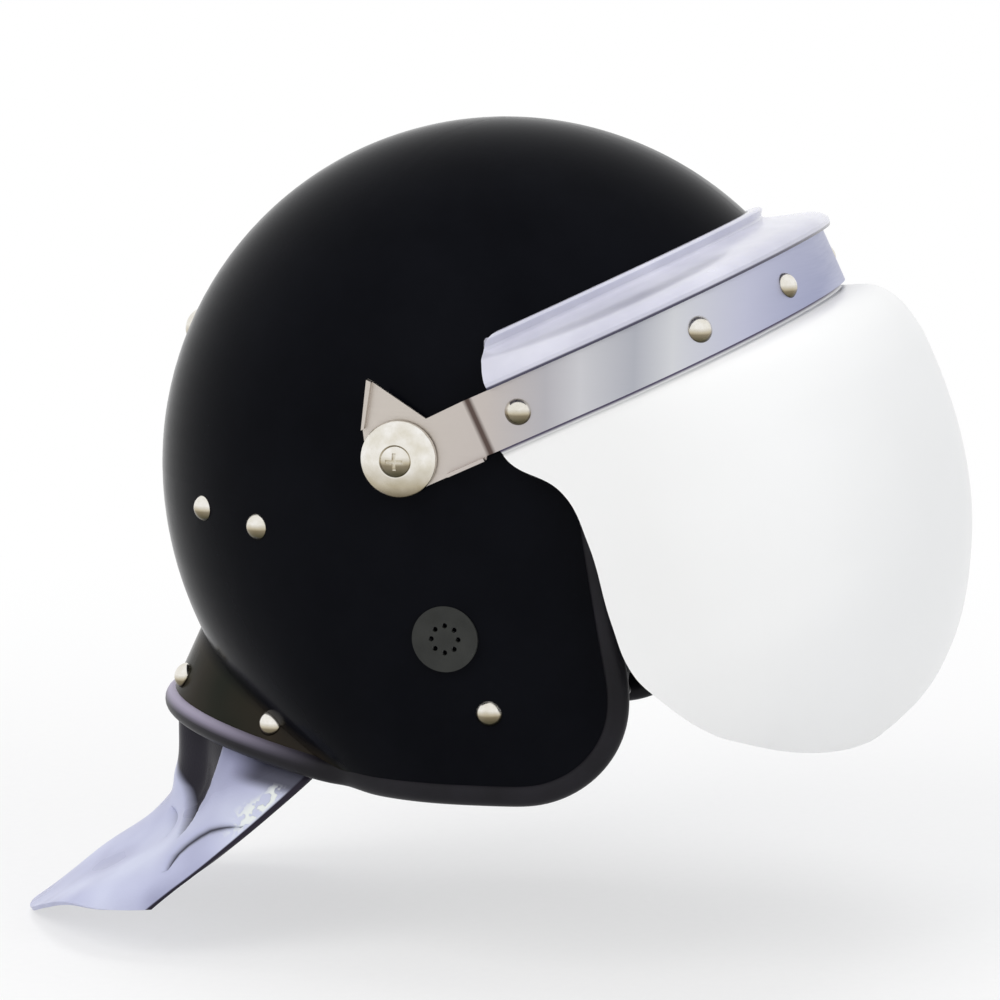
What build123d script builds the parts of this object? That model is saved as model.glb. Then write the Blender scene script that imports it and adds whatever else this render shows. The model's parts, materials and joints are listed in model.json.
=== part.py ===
from build123d import *
from math import acos, cos, degrees, pi, radians, sin, sqrt, tan
import os

# Riot helmet with a raised-brow visor, as worn. All sizes are in millimetres.
# +X is forward, +Y the wearer's left, +Z up. The origin is the middle of the
# axis that the visor turns on, which lies inside the head.

# Shell: seen from the side it is a round, with upright cheeks below
round_radius = 154.0
round_ahead = 18.0
round_drop = 23.0
shell_half_width = 122.0
shell_wall = 3.2
cheek_tuck = 14.0
cheek_tuck_depth = 126.0
form_depth = 146.0
form_depth_shares = (-0.3, 0.0, 0.25, 0.48, 0.68, 0.85, 1.0)

# Shell outline from the side: brow, temple and cheek
brow_edge_height = 50.0
temple_ahead = 80.0
temple_low = -28.0
cheek_ahead = 90.0
cheek_turn_low = -96.0
shell_bottom = -147.3
temple_corner_radius = 30.0
temple_bend_radius = 60.0
cheek_bend_radius = 40.0
jaw_corner_radius = 44.0

# Flared nape: it starts inside the round, leaves it along a crease and spreads
# to the rim
nape_start_ahead = -20.0
nape_middle_ahead = 65.0
nape_top_angle = 32.0
nape_edge_angle = 8.4
nape_overrun = 9.0
nape_overrun_spread = 3.9
nape_top_sink = 9.3
nape_edge_sink = 7.0
nape_top_tuck = 24.1
nape_edge_tuck = 17.0

# Rubber edging round the whole rim
trim_thickness = 2.2
trim_height = 7.0

# Impact liner and comfort pads
seat_gap = 0.3
liner_thickness = 18.0
liner_brow_margin = 8.0
liner_front_ahead = 72.0
liner_side_low = -36.0
liner_nape_back = -48.0
liner_nape_low = -92.0
liner_corner_radius = 14.0
crown_pad_length = 60.0
crown_pad_half_width = 50.0
crown_pad_drop = 16.0
band_pad_thickness = 13.0
band_pad_height = 42.0
brow_pad_angle = 56.0
brow_pad_lift_angle = 43.0
rear_pad_angle = 50.0
rear_pad_lift_angle = -10.0
pad_place_shares = (-1.0, -0.85, -0.45, 0.0, 0.45, 0.85, 1.0)
pad_size_shares = (0.45, 0.85, 1.0, 1.0, 1.0, 0.85, 0.45)
cheek_pad_thickness = 24.0
cheek_pad_front = 76.0
cheek_pad_top = -44.0
cheek_pad_bottom = -134.0
cheek_pad_level_shares = (0.0, 0.12, 0.38, 0.68, 0.88, 1.0)
cheek_pad_back_shares = (0.58, 0.5, 0.45, 0.4, 0.44, 0.56)
cheek_pad_front_shares = (0.87, 0.93, 0.98, 1.0, 0.94, 0.82)
cheek_pad_size_shares = (0.4, 0.8, 1.0, 1.0, 0.8, 0.4)

# Visor pivots
pivot_bolt_radius = 3.0
pivot_bolt_clearance = 0.1
pivot_journal_radius = 7.0
pivot_running_clearance = 0.05
pivot_collar_radius = 14.0
pivot_side_gap = 0.25
pivot_cap_radius = 15.9
pivot_cap_height = 9.0
pivot_cap_wall = 1.6
pivot_cap_edge = 2.4
pivot_screw_head_radius = 6.5
pivot_screw_head_height = 3.0
pivot_recess_radius = 3.6
pivot_recess_width = 1.5
pivot_recess_depth = 1.8
pivot_washer_radius = 12.5
pivot_washer_thickness = 0.8
pivot_nut_radius = 6.5
pivot_nut_height = 4.5
pivot_nut_washer_radius = 10.0
pivot_nut_washer_thickness = 2.0

# Visor band, a bent metal strip with an arm and a stop ear at each end.
# The band's own plane leans back by this angle.
band_angle = 25.0
band_front_gap = 17.0
band_side_gap = 5.0
band_straight = 85.0
band_half_width = shell_half_width + band_side_gap
band_thickness = 1.5
band_top = 11.0
band_bottom = -13.5
joggle_ahead = 34.0
joggle_run = 4.5
joggle_step = 1.6
arm_top = 10.5
arm_bottom = -15.0
arm_end_radius = 15.0
ear_front_ahead = 17.0
ear_tip_ahead = 1.5
ear_tip_height = 35.0
ear_back_ahead = -9.5
ear_back_height = 17.0
ear_lip_width = 3.2
lower_lip_back = 16.0
lower_lip_front = 33.0
lower_lip_width = 3.6

# Visor, a blown bubble with a shelf under the band
visor_thickness = 3.0
seal_flange_thickness = 1.2
visor_flange_top = 8.0
visor_shelf = -17.0
visor_bottom = -199.0
visor_bulge = 22.5
visor_level_shares = (0.0, 0.016, 0.047, 0.1, 0.183, 0.361, 0.513, 0.649, 0.806, 0.906, 0.963, 1.0)
visor_front_shares = (0.891, 0.932, 0.965, 0.988, 1.0, 0.992, 0.965, 0.919, 0.835, 0.749, 0.668, 0.567)
visor_side_shares = (0.987, 0.992, 0.997, 1.0, 1.002, 1.0, 0.992, 0.969, 0.882, 0.772, 0.661, 0.52)
visor_straight_shares = (1.0, 1.0, 1.0, 1.0, 1.0, 1.0, 0.98, 0.94, 0.82, 0.65, 0.55, 0.5)
visor_edge_shares = ((0.205, -0.05), (0.205, 0.084), (0.288, 0.2), (0.294, 0.3135), (0.268, 0.487),
                     (0.263, 0.598), (0.289, 0.669), (0.354, 0.785), (0.405, 0.835), (0.481, 0.91),
                     (0.58, 0.99))

# Brow seal, a channel of soft vinyl between band and shell
seal_thickness = 2.2
seal_back = 47.0
seal_lip_out = 3.6
seal_clearance = 0.4
seal_flange_bottom = -7.0
seal_rise = 20.0
seal_corner = 8.0
seal_level_shares = (0.0, 0.17, 0.4, 0.62, 0.8, 1.0)
seal_front_shares = (1.0206, 1.025, 1.0, 0.937, 0.883, 0.889)
seal_side_shares = (1.028, 1.033, 1.0, 0.949, 0.921, 0.93)
seal_straight_shares = (1.0, 1.0, 0.94, 0.53, 0.14, 0.1)

# Rivets and studs
rivet_head_radius = 5.6
rivet_head_height = 3.6
rivet_shank_radius = 2.2
rivet_tail_radius = 5.0
rivet_tail_height = 1.6
cheek_rivet_ahead = 35.0
cheek_rivet_height = -108.0
side_rivet_back = (-98.0, -68.5)
side_rivet_height = (-32.0, -35.5)
nape_rivet_angles = (16.0, 48.0)
nape_rivet_shares = (0.66, 0.38)
rear_stud_radius = 8.0
rear_stud_height = 4.2
rear_stud_angle = 157.0
small_turn = 1.0
band_rivet_height = -2.0
band_rivet_side_ahead = 54.0
band_rivet_angles = (32.2, 62.0)

# Ear vent: a dark plug with a ring of eight sound holes
vent_ahead = 17.5
vent_height = -76.0
vent_radius = 13.9
vent_barrel_radius = 11.5
vent_barrel_wall = 2.0
vent_proud = 1.4
vent_face_thickness = 2.4
vent_hole_radius = 1.1
vent_ring_radius = 5.7
vent_hole_count = 8

# Chin strap
strap_width = 20.0
strap_thickness = 2.0
strap_clearance = 0.4
strap_wall_gap = 1.4
strap_top_side = 111.0
strap_rise = 9.0
strap_knee_side = 104.2
strap_knee_drop = 24.0
strap_low_side = 80.0
strap_sag = 32.0
strap_bend_radius = 18.0
strap_lean_angle = -66.0
buckle_length = 30.0
buckle_width = 27.0
buckle_thickness = 9.0
buckle_middle = 50.0
buckle_wall = 1.8
buckle_corner_radius = 2.0
buckle_prong_width = 5.0
chin_cup_length = 62.0
chin_cup_width = 34.0
chin_cup_thickness = 9.0
chin_cup_floor = 1.6
chin_cup_corner_radius = 12.0
cup_hollow_share = 0.42

# Neck guard: leather hung inside the nape, with hanging folds.
# Each row is a level, from the top to the hem.
guard_thickness = 2.0
guard_edge_ahead = (-46.3, -47.0, -70.0, -92.0, -108.0, -121.0)
guard_edge_height = (-137.6, -143.3, -165.0, -184.0, -197.0, -209.0)
guard_back = (-121.0, -127.2, -127.6, -141.0, -170.0, -202.0)
guard_back_height = (-109.3, -131.2, -163.0, -187.0, -209.0, -230.0)
guard_half_width = (78.6, 81.4, 87.0, 91.0, 91.0, 90.0)
guard_round = (93.0, 92.0, 60.0, 40.0, 25.0, 15.0)
guard_fold = (0.0, 0.0, 3.0, 7.0, 9.0, 8.0)
guard_bend_count = 5
guard_wall_gap = 2.4

# One overrun serves every cut
overrun = 60.0


def half_width_at(depth):
    """Half of the shell's width at a depth below the middle of the round."""
    return shell_half_width - cheek_tuck * (depth / cheek_tuck_depth) ** 2


def level_section(depth, grow):
    """Level section of the shell's form, grown by an offset."""
    front = round_radius + grow
    back = sqrt((round_radius + grow) ** 2 - depth ** 2)
    if depth > 0:
        side = half_width_at(depth) + grow
    else:
        side = (shell_half_width + grow) * back / front
        front = back
    place = Plane((round_ahead, 0, -round_drop - depth), x_dir=(1, 0, 0), z_dir=(0, 0, 1))
    ahead = EllipticalCenterArc((0, 0), front, side, -90, arc_size=180)
    behind = EllipticalCenterArc((0, 0), back, side, 90, arc_size=180)
    return place * make_face([ahead, behind])


def egg_form(grow):
    """Solid crown and cheeks without the flare."""
    middle = Plane((0, 0, -round_drop), x_dir=(1, 0, 0), z_dir=(0, 0, 1))
    crown = scale(Sphere(1), by=(round_radius + grow, shell_half_width + grow, round_radius + grow))
    crown = split(Pos(round_ahead, 0, -round_drop) * crown, bisect_by=middle, keep=Keep.TOP)
    reach = form_depth * (round_radius + grow) / round_radius
    levels = [level_section(share * reach, grow) for share in form_depth_shares]
    cheeks = split(loft(levels), bisect_by=middle, keep=Keep.BOTTOM)
    return crown + cheeks


def nape_plane(angle):
    """Plane that rises towards the back from the start of the flare.

    Its own origin is the middle of the flare's ellipse, further ahead.
    """
    tilt = radians(angle)
    back = Vector(-cos(tilt), 0, sin(tilt))
    start = Vector(nape_start_ahead, 0, shell_bottom)
    return Plane(start - back * nape_middle_ahead, x_dir=back, z_dir=(sin(tilt), 0, cos(tilt)))


def round_reach():
    """Reach of the round itself on the plane of the flare's top."""
    tilt = radians(nape_top_angle)
    ahead = nape_start_ahead - round_ahead
    low = shell_bottom + round_drop
    across = low * sin(tilt) - ahead * cos(tilt)
    return nape_middle_ahead - across + sqrt(across ** 2 + round_radius ** 2 - ahead ** 2 - low ** 2)


def nape_size(angle):
    """Reach and half width of the flare on the plane at this angle."""
    share = (nape_top_angle - angle) / (nape_top_angle - nape_edge_angle)
    sink = nape_top_sink + share * (nape_edge_sink - nape_top_sink)
    tuck = nape_top_tuck + share * (nape_edge_tuck - nape_top_tuck)
    return round_reach() - sink, shell_half_width - tuck


def nape_face(plane, reach, side):
    """Back part of an ellipse, cut straight where the flare starts."""
    end = degrees(acos(nape_middle_ahead / reach))
    arc = EllipticalCenterArc((0, 0), reach, side, -end, arc_size=2 * end)
    return plane * make_face([arc, Line(arc @ 1, arc @ 0)])


def nape_form(grow):
    """Solid flare, a ruled cone from inside the round to just below the rim."""
    reach, side = nape_size(nape_top_angle)
    top = nape_face(nape_plane(nape_top_angle), reach + grow, side + grow)
    reach, side = nape_size(nape_edge_angle)
    low_plane = nape_plane(nape_edge_angle).offset(-nape_overrun)
    wide = grow + nape_overrun_spread
    return loft([top, nape_face(low_plane, reach + wide, side + wide)], ruled=True)


def shell_form(grow):
    return egg_form(grow) + nape_form(grow)


def side_solid(face):
    """Side-view face, drawn as ahead and height, run through the whole width."""
    return extrude(Plane.XZ * face, shell_half_width + overrun, both=True)


def rim_face(margin):
    """Side view of what the shell keeps, moved out by a margin."""
    far = round_radius + overrun
    back_height = shell_bottom + (nape_start_ahead + far) * tan(radians(nape_edge_angle))
    outline = Polyline(
        (far, far), (far, brow_edge_height), (temple_ahead, brow_edge_height),
        (temple_ahead, temple_low), (cheek_ahead, cheek_turn_low), (cheek_ahead, shell_bottom),
        (nape_start_ahead, shell_bottom), (-far, back_height), (-far, far), close=True)
    face = make_face(outline)
    radii = (temple_corner_radius, temple_bend_radius, cheek_bend_radius, jaw_corner_radius)
    corners = ((temple_ahead, brow_edge_height), (temple_ahead, temple_low),
               (cheek_ahead, cheek_turn_low), (cheek_ahead, shell_bottom))
    for radius, corner in zip(radii, corners):
        nearest = face.vertices().sort_by_distance(corner)[0]
        face = fillet(nearest, radius)
    return offset(face, margin) if margin else face


def surface_point(ahead, height, side):
    """Point of the shell's outside at a place seen from the side."""
    depth = -round_drop - height
    across = ahead - round_ahead
    if depth > 0:
        reach = sqrt(round_radius ** 2 - depth ** 2) if across < 0 else round_radius
        width = half_width_at(depth) * sqrt(1 - (across / reach) ** 2)
    else:
        width = shell_half_width * sqrt(1 - (across ** 2 + depth ** 2) / round_radius ** 2)
    return Vector(ahead, side * width, height)


def surface_plane(ahead, height, side):
    """Plane on the shell's outside, its Z pointing straight out."""
    step = shell_wall
    point = surface_point(ahead, height, side)
    along = surface_point(ahead + step, height, side) - surface_point(ahead - step, height, side)
    up = surface_point(ahead, height + step, side) - surface_point(ahead, height - step, side)
    out = along.cross(up) * -side
    return Plane(point, x_dir=along, z_dir=out)


def nape_rivet_plane(angle, share, side):
    """Plane on the flare's outside, at an angle from its middle."""
    middle = nape_top_angle + share * (nape_edge_angle - nape_top_angle)

    def place(turn, tilt):
        reach, width = nape_size(tilt)
        spot = (reach * cos(radians(turn)), side * width * sin(radians(turn)), 0)
        return nape_plane(tilt).from_local_coords(Vector(spot))

    along = place(angle + small_turn, middle) - place(angle - small_turn, middle)
    up = place(angle, middle + small_turn) - place(angle, middle - small_turn)
    out = along.cross(up)
    if out.X > 0:
        out = out * -1
    return Plane(place(angle, middle), x_dir=along, z_dir=out)


BASE = (Align.CENTER, Align.CENTER, Align.MIN)
HUNG = (Align.CENTER, Align.CENTER, Align.MAX)


def dome(radius, height):
    """Domed head on the XY plane, with a short skirt below it for seating."""
    sphere = (radius ** 2 + height ** 2) / (2 * height)
    cap = (Pos(0, 0, height - sphere) * Sphere(sphere)) & Cylinder(radius, height, align=BASE)
    return cap + Cylinder(radius, height, align=HUNG)


def rivet_tools(wall, radius, height, layer=0.0):
    """Head, shank and tail of a rivet that stands on the XY plane."""
    deep = wall + layer + rivet_tail_height
    tail = Cylinder(rivet_tail_radius, deep, align=HUNG)
    shank = Pos(0, 0, -deep) * Cylinder(rivet_shank_radius, deep + height / 2, align=BASE)
    return dome(radius, height), shank, tail


def seated(plane, tools, outside, inside):
    """Fastener through a wall: its head outside it, its tail inside it."""
    head_part, shank, tail = tools
    return (plane * head_part - outside) + plane * shank + (plane * tail & inside)


def mirrored(name, maker):
    """The same piece for the wearer's right (-1) and left (+1)."""
    return {f"{name}_right": maker(-1), f"{name}_left": maker(1)}


# Places of the rivets in the shell

def shell_rivet_planes():
    """Planes on the shell's outside, by rivet name."""
    planes = {}
    for side, word in ((-1, "right"), (1, "left")):
        planes[f"cheek_rivet_{word}"] = surface_plane(cheek_rivet_ahead, cheek_rivet_height, side)
        for count, (ahead, height) in enumerate(zip(side_rivet_back, side_rivet_height), 1):
            planes[f"side_rivet_{word}_{count}"] = surface_plane(ahead, height, side)
        for count, (angle, share) in enumerate(zip(nape_rivet_angles, nape_rivet_shares), 1):
            planes[f"nape_rivet_{word}_{count}"] = nape_rivet_plane(angle, share, side)
    return planes


def rear_stud_plane():
    turn = radians(rear_stud_angle)
    out = Vector(cos(turn), 0, sin(turn))
    point = Vector(round_ahead, 0, -round_drop) + out * round_radius
    return Plane(point, x_dir=(0, 1, 0), z_dir=out)


def side_axis(side, height=0.0, ahead=0.0):
    """Plane at the middle of the helmet that looks out to one side."""
    return Plane((ahead, 0, height), x_dir=(1, 0, 0), z_dir=(0, side, 0))


def side_cylinder(side, radius, start, end, ahead=0.0, height=0.0):
    """Cylinder along the width, between two distances from the middle."""
    rod = Pos(0, 0, start) * Cylinder(radius, end - start, align=BASE)
    return side_axis(side, height, ahead) * rod


# Shell and edging

def make_shell(plain_shell):
    body = plain_shell
    reach = shell_half_width + overrun
    for side in (-1, 1):
        body -= side_cylinder(side, pivot_bolt_radius + pivot_bolt_clearance, 0, reach)
        body -= side_cylinder(side, vent_barrel_radius, 0, reach, vent_ahead, vent_height)
    hole = Cylinder(rivet_shank_radius, 4 * shell_wall)
    for plane in list(shell_rivet_planes().values()) + [rear_stud_plane()]:
        body -= plane * hole
    return body


def make_trim(plain_shell):
    band = side_solid(rim_face(trim_thickness) - rim_face(-trim_height))
    skin = shell_form(trim_thickness) - shell_form(-shell_wall - trim_thickness)
    return (skin & band) - plain_shell


# Liner and pads

def liner_face():
    far = round_radius + overrun
    low = brow_edge_height + liner_brow_margin
    corners = ((liner_front_ahead, low), (liner_front_ahead, liner_side_low),
               (liner_nape_back, liner_side_low), (liner_nape_back, liner_nape_low))
    face = make_face(Polyline((far, far), (far, low), *corners, (-far, liner_nape_low),
                              (-far, far), close=True))
    for corner in corners:
        face = fillet(face.vertices().sort_by_distance(corner)[0], liner_corner_radius)
    return face


def make_liner():
    skin = egg_form(-shell_wall - seat_gap) - egg_form(-shell_wall - seat_gap - liner_thickness)
    body = skin & side_solid(liner_face())
    pocket = pivot_nut_washer_radius + seat_gap
    depth = pivot_nut_washer_thickness + 2 * pivot_nut_height
    for side in (-1, 1):
        body -= side_cylinder(side, pocket, shell_half_width - shell_wall - depth,
                              shell_half_width)
    relief = Cylinder(rivet_tail_radius + seat_gap, 2 * (shell_wall + 2 * rivet_tail_height))
    for name, plane in shell_rivet_planes().items():
        if name.startswith("side"):
            body -= plane * relief
    body -= rear_stud_plane() * relief
    return body


def lined_axes():
    """Half axes of the round inside of the liner, less the seat gap."""
    lost = shell_wall + 2 * seat_gap + liner_thickness
    return round_radius - lost, shell_half_width - lost


def make_crown_pad():
    long_axis, side_axis_length = lined_axes()
    place = Pos(round_ahead, 0, -round_drop)
    hollow = place * scale(Sphere(1), by=(long_axis, side_axis_length, long_axis))
    cushion = scale(Sphere(1), by=(crown_pad_length, crown_pad_half_width, crown_pad_drop))
    return hollow & (Pos(round_ahead, 0, long_axis - round_drop) * cushion)


def make_band_pad(middle, half_angle, lift):
    """Cushion that follows the liner level round the head."""
    long_axis, side_axis_length = lined_axes()
    sections = []
    for share, size in zip(pad_place_shares, pad_size_shares):
        turn = radians(middle + share * half_angle)
        rise = radians(lift)
        point = Vector(round_ahead + long_axis * cos(rise) * cos(turn),
                       side_axis_length * cos(rise) * sin(turn),
                       long_axis * sin(rise) - round_drop)
        out = Vector(cos(rise) * cos(turn) / long_axis, cos(rise) * sin(turn) / side_axis_length,
                     sin(rise) / long_axis)
        along = Vector(-long_axis * sin(turn), side_axis_length * cos(turn), 0)
        plane = Plane(point, x_dir=out.cross(along), z_dir=along)
        half = size * band_pad_height / 2
        sag = half ** 2 / side_axis_length
        outer = ThreePointArc((-half, -sag), (0, 0), (half, -sag))
        crown = ThreePointArc((half, -sag), (0, -size * band_pad_thickness), (-half, -sag))
        sections.append(plane * make_face([outer, crown]))
    return loft(sections)


def make_cheek_pad(side):
    """Cushion inside the cheek, in front of the ear."""
    sections = []
    for level, back, front, size in zip(cheek_pad_level_shares, cheek_pad_back_shares,
                                        cheek_pad_front_shares, cheek_pad_size_shares):
        height = cheek_pad_top + level * (cheek_pad_bottom - cheek_pad_top)
        depth = -round_drop - height
        start = back * cheek_pad_front
        end = front * cheek_pad_front
        middle = (start + end) / 2
        reach = round_radius - shell_wall - 2 * seat_gap
        width = half_width_at(depth) - shell_wall - 2 * seat_gap

        def wall(ahead):
            return side * width * sqrt(1 - ((ahead - round_ahead) / reach) ** 2)

        thick = side * size * cheek_pad_thickness
        outer = ThreePointArc((start, wall(start)), (middle, wall(middle)), (end, wall(end)))
        crown = ThreePointArc((end, wall(end)), (middle, wall(middle) - thick),
                              (start, wall(start)))
        sections.append(Pos(0, 0, height) * make_face([outer, crown]))
    body = loft(sections)
    return body - strap_solid(strap_clearance) - cheek_rivet_relief(side)


def cheek_rivet_relief(side):
    deep = shell_wall + strap_wall_gap + strap_thickness + 2 * rivet_tail_height
    return surface_plane(cheek_rivet_ahead, cheek_rivet_height, side) \
        * Cylinder(rivet_tail_radius + strap_clearance, 2 * deep)


# Chin strap

def strap_plane():
    """Plane of the strap's route: X to the left, Y ahead and down, Z across it."""
    lean = radians(strap_lean_angle)
    return Plane((cheek_rivet_ahead, 0, cheek_rivet_height), x_dir=(0, 1, 0),
                 z_dir=(sin(lean), 0, -cos(lean)))


def strap_path():
    half = ((strap_top_side, -strap_rise), (strap_knee_side, strap_knee_drop),
            (strap_low_side, strap_sag))
    other = tuple((-across, along) for across, along in reversed(half))
    return FilletPolyline(*half, *other, radius=strap_bend_radius)


def strap_solid(grow=0.0):
    face = trace(strap_path(), strap_thickness + 2 * grow)
    return strap_plane() * extrude(face, strap_width / 2 + grow, both=True)


def strap_slice(start, end):
    """Block of the strap's route between two places across the helmet."""
    deep = round_radius
    block = Box(end - start, deep, deep, align=(Align.MIN, Align.CENTER, Align.CENTER))
    return strap_plane() * (Pos(start, strap_sag, 0) * block)


def make_strap(side):
    socket_end = buckle_middle + buckle_length / 2
    tongue_end = buckle_middle - buckle_length / 2
    if side > 0:
        reach = strap_slice(socket_end, round_radius)
    else:
        reach = strap_slice(-round_radius, tongue_end)
    plane = surface_plane(cheek_rivet_ahead, cheek_rivet_height, side)
    return (strap_solid() & reach) - plane * Cylinder(rivet_shank_radius, round_radius / 4)


def make_buckle_socket():
    """Half of the buckle with a pocket for the two prongs."""
    length = buckle_length / 2
    shell = Box(length, buckle_thickness, buckle_width, align=(Align.MIN, Align.CENTER, Align.CENTER))
    shell = fillet(shell.edges().filter_by(Axis.X), buckle_corner_radius)
    pocket = Box(length - buckle_wall, buckle_thickness - 2 * buckle_wall,
                 buckle_width - 2 * buckle_wall, align=(Align.MIN, Align.CENTER, Align.CENTER))
    return strap_plane() * (Pos(buckle_middle, strap_sag, 0) * (shell - pocket))


def make_buckle_tongue():
    """Half of the buckle with two prongs that lie in the socket."""
    length = buckle_length / 2
    base = Box(length, buckle_thickness, buckle_width, align=(Align.MAX, Align.CENTER, Align.CENTER))
    base = fillet(base.edges().filter_by(Axis.X), buckle_corner_radius)
    thick = buckle_thickness - 2 * buckle_wall - 2 * strap_clearance
    prong = Box(length - 2 * buckle_wall, thick, buckle_prong_width,
                align=(Align.MIN, Align.CENTER, Align.CENTER))
    spread = buckle_width / 2 - buckle_wall - strap_clearance - buckle_prong_width / 2
    for way in (-1, 1):
        base += Pos(0, 0, way * spread) * prong
    return strap_plane() * (Pos(buckle_middle, strap_sag, 0) * base)


def make_chin_cup():
    """Moulded cup that the strap threads through."""
    cup = Box(chin_cup_length, chin_cup_thickness, chin_cup_width)
    cup = fillet(cup.edges().filter_by(Axis.Y), chin_cup_corner_radius)
    hollow = scale(Sphere(1), by=(chin_cup_length * cup_hollow_share,
                                  chin_cup_thickness * cup_hollow_share,
                                  chin_cup_width * cup_hollow_share))
    cup -= Pos(0, -chin_cup_thickness / 2, 0) * hollow
    slot = Box(2 * chin_cup_length, strap_thickness + 2 * strap_clearance,
               strap_width + 2 * strap_clearance)
    low = chin_cup_thickness / 2 - strap_thickness / 2 - strap_clearance - chin_cup_floor
    return strap_plane() * (Pos(0, strap_sag - low, 0) * (cup - Pos(0, low, 0) * slot))


# Ear vent

def make_vent(side, outer):
    """Plug with a flange seated on the shell and a ring of sound holes."""
    surface = abs(surface_point(vent_ahead, vent_height, side).Y)
    face_height = surface + vent_proud
    flange = side_cylinder(side, vent_radius, surface - vent_face_thickness, face_height,
                           vent_ahead, vent_height)
    body = flange - outer
    body += side_cylinder(side, vent_barrel_radius, surface - shell_wall, face_height,
                          vent_ahead, vent_height)
    body -= side_cylinder(side, vent_barrel_radius - vent_barrel_wall,
                          surface - shell_wall - vent_proud, face_height - vent_face_thickness,
                          vent_ahead, vent_height)
    for count in range(vent_hole_count):
        turn = 2 * pi * count / vent_hole_count
        body -= side_cylinder(side, vent_hole_radius, surface - 2 * shell_wall,
                              face_height + vent_proud,
                              vent_ahead + vent_ring_radius * cos(turn),
                              vent_height + vent_ring_radius * sin(turn))
    return body


# Neck guard

def guard_section(row):
    """Section of the hanging leather: arcs that fold in and out by turns."""
    edge = Vector(guard_edge_ahead[row], 0, guard_edge_height[row])
    back = Vector(guard_back[row], 0, guard_back_height[row])
    ahead = guard_round[row]
    reach = ahead + (back - edge).length
    plane_x = (back - edge).normalized()
    plane = Plane(edge - plane_x * ahead, x_dir=plane_x, z_dir=Vector(0, 1, 0).cross(plane_x))
    end = acos(ahead / reach)
    width = guard_half_width[row] / sin(end)
    fold = guard_fold[row]

    def spot(share, inset, shift):
        turn = end * (2 * share / guard_bend_count - 1)
        return ((reach - inset + shift) * cos(turn), (width - inset + shift) * sin(turn))

    def path(inset):
        arcs = []
        for bend in range(guard_bend_count):
            shift = fold if bend % 2 == 0 else -fold
            arcs.append(ThreePointArc(spot(bend, inset, 0), spot(bend + 0.5, inset, shift),
                                      spot(bend + 1, inset, 0)))
        return arcs

    outer = path(0)
    inner = path(guard_thickness)
    ends = [Line(outer[0] @ 0, inner[0] @ 0), Line(outer[-1] @ 1, inner[-1] @ 1)]
    return plane * make_face(outer + inner + ends)


def make_guard_sheet():
    return loft([guard_section(row) for row in range(len(guard_back))])


# Visor, band and seal are drawn in the band's own frame

def band_plane():
    lean = radians(band_angle)
    return Plane((0, 0, 0), x_dir=(cos(lean), 0, sin(lean)), z_dir=(-sin(lean), 0, cos(lean)))


def round_front():
    """Front of the shell's round, measured along the band."""
    middle = band_plane().to_local_coords(Vector(round_ahead, 0, -round_drop))
    return middle.X + sqrt(round_radius ** 2 - middle.Z ** 2)


band_front = round_front() + band_front_gap
visor_front = band_front + visor_bulge


def bow_face(straight, front, half, back=0.0):
    """Plan of a bow: half an ellipse ahead, straight sides and a straight back."""
    arc = EllipticalCenterArc((straight, 0), front - straight, half, -90, arc_size=180)
    return make_face([arc, Line(arc @ 1, (back, half)), Line((back, half), (back, -half)),
                      Line((back, -half), arc @ 0)])


def bow(inset, low, high):
    """Solid bow under the band's outside, between two heights."""
    face = bow_face(band_straight, band_front - inset, band_half_width - inset)
    return Pos(0, 0, low) * extrude(face, high - low)


def joggled_face(inset, back):
    """Plan inside the band's outside, stepped in at the arms."""
    half = band_half_width - inset
    arm = half - joggle_step
    bend = joggle_ahead + joggle_run
    arc = EllipticalCenterArc((band_straight, 0), band_front - inset - band_straight, half, -90,
                              arc_size=180)
    rest = Polyline(arc @ 1, (bend, half), (joggle_ahead, arm), (back, arm), (back, -arm),
                    (joggle_ahead, -arm), (bend, -half), arc @ 0)
    return make_face([arc, rest])


def side_prism(face, start, end, side):
    """Side-view face in the band's frame, run outwards between two distances."""
    low, high = (start, end) if side > 0 else (-end, -start)
    return Pos(0, low, 0) * (Plane.XZ * extrude(face, -(high - low)))


def make_band():
    far = band_front + overrun
    strip = make_face(Polyline(
        (0, arm_bottom), (lower_lip_front, arm_bottom), (joggle_ahead, band_bottom),
        (far, band_bottom), (far, band_top), (joggle_ahead, band_top),
        (ear_front_ahead, arm_top), (ear_tip_ahead, ear_tip_height),
        (ear_back_ahead, ear_back_height), (-arm_end_radius, 0), close=True))
    outline = strip + Circle(arm_end_radius)
    tall = ear_tip_height + overrun
    ring = extrude(joggled_face(0, -overrun), tall, both=True)
    ring -= extrude(joggled_face(band_thickness, -2 * overrun), 2 * tall, both=True)
    wide = band_half_width + overrun
    body = ring & (Plane.XZ * extrude(outline, wide, both=True))
    arm_outside = band_half_width - joggle_step
    ear_lip = make_face(Polyline(
        (ear_tip_ahead, ear_tip_height), (ear_back_ahead, ear_back_height),
        (ear_back_ahead + band_thickness, ear_back_height),
        (ear_tip_ahead + band_thickness, ear_tip_height - band_thickness), close=True))
    lower_lip = make_face(Polyline(
        (lower_lip_back, arm_bottom), (lower_lip_front, arm_bottom),
        (lower_lip_front, arm_bottom + band_thickness),
        (lower_lip_back, arm_bottom + band_thickness), close=True))
    for side in (-1, 1):
        start = arm_outside - band_thickness / 2
        body += side_prism(ear_lip, start, arm_outside + ear_lip_width, side)
        body += side_prism(lower_lip, start, arm_outside + lower_lip_width, side)
        hole = pivot_journal_radius + pivot_running_clearance
        body -= side_cylinder(side, hole, 0, wide)
    return drilled(body)


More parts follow.
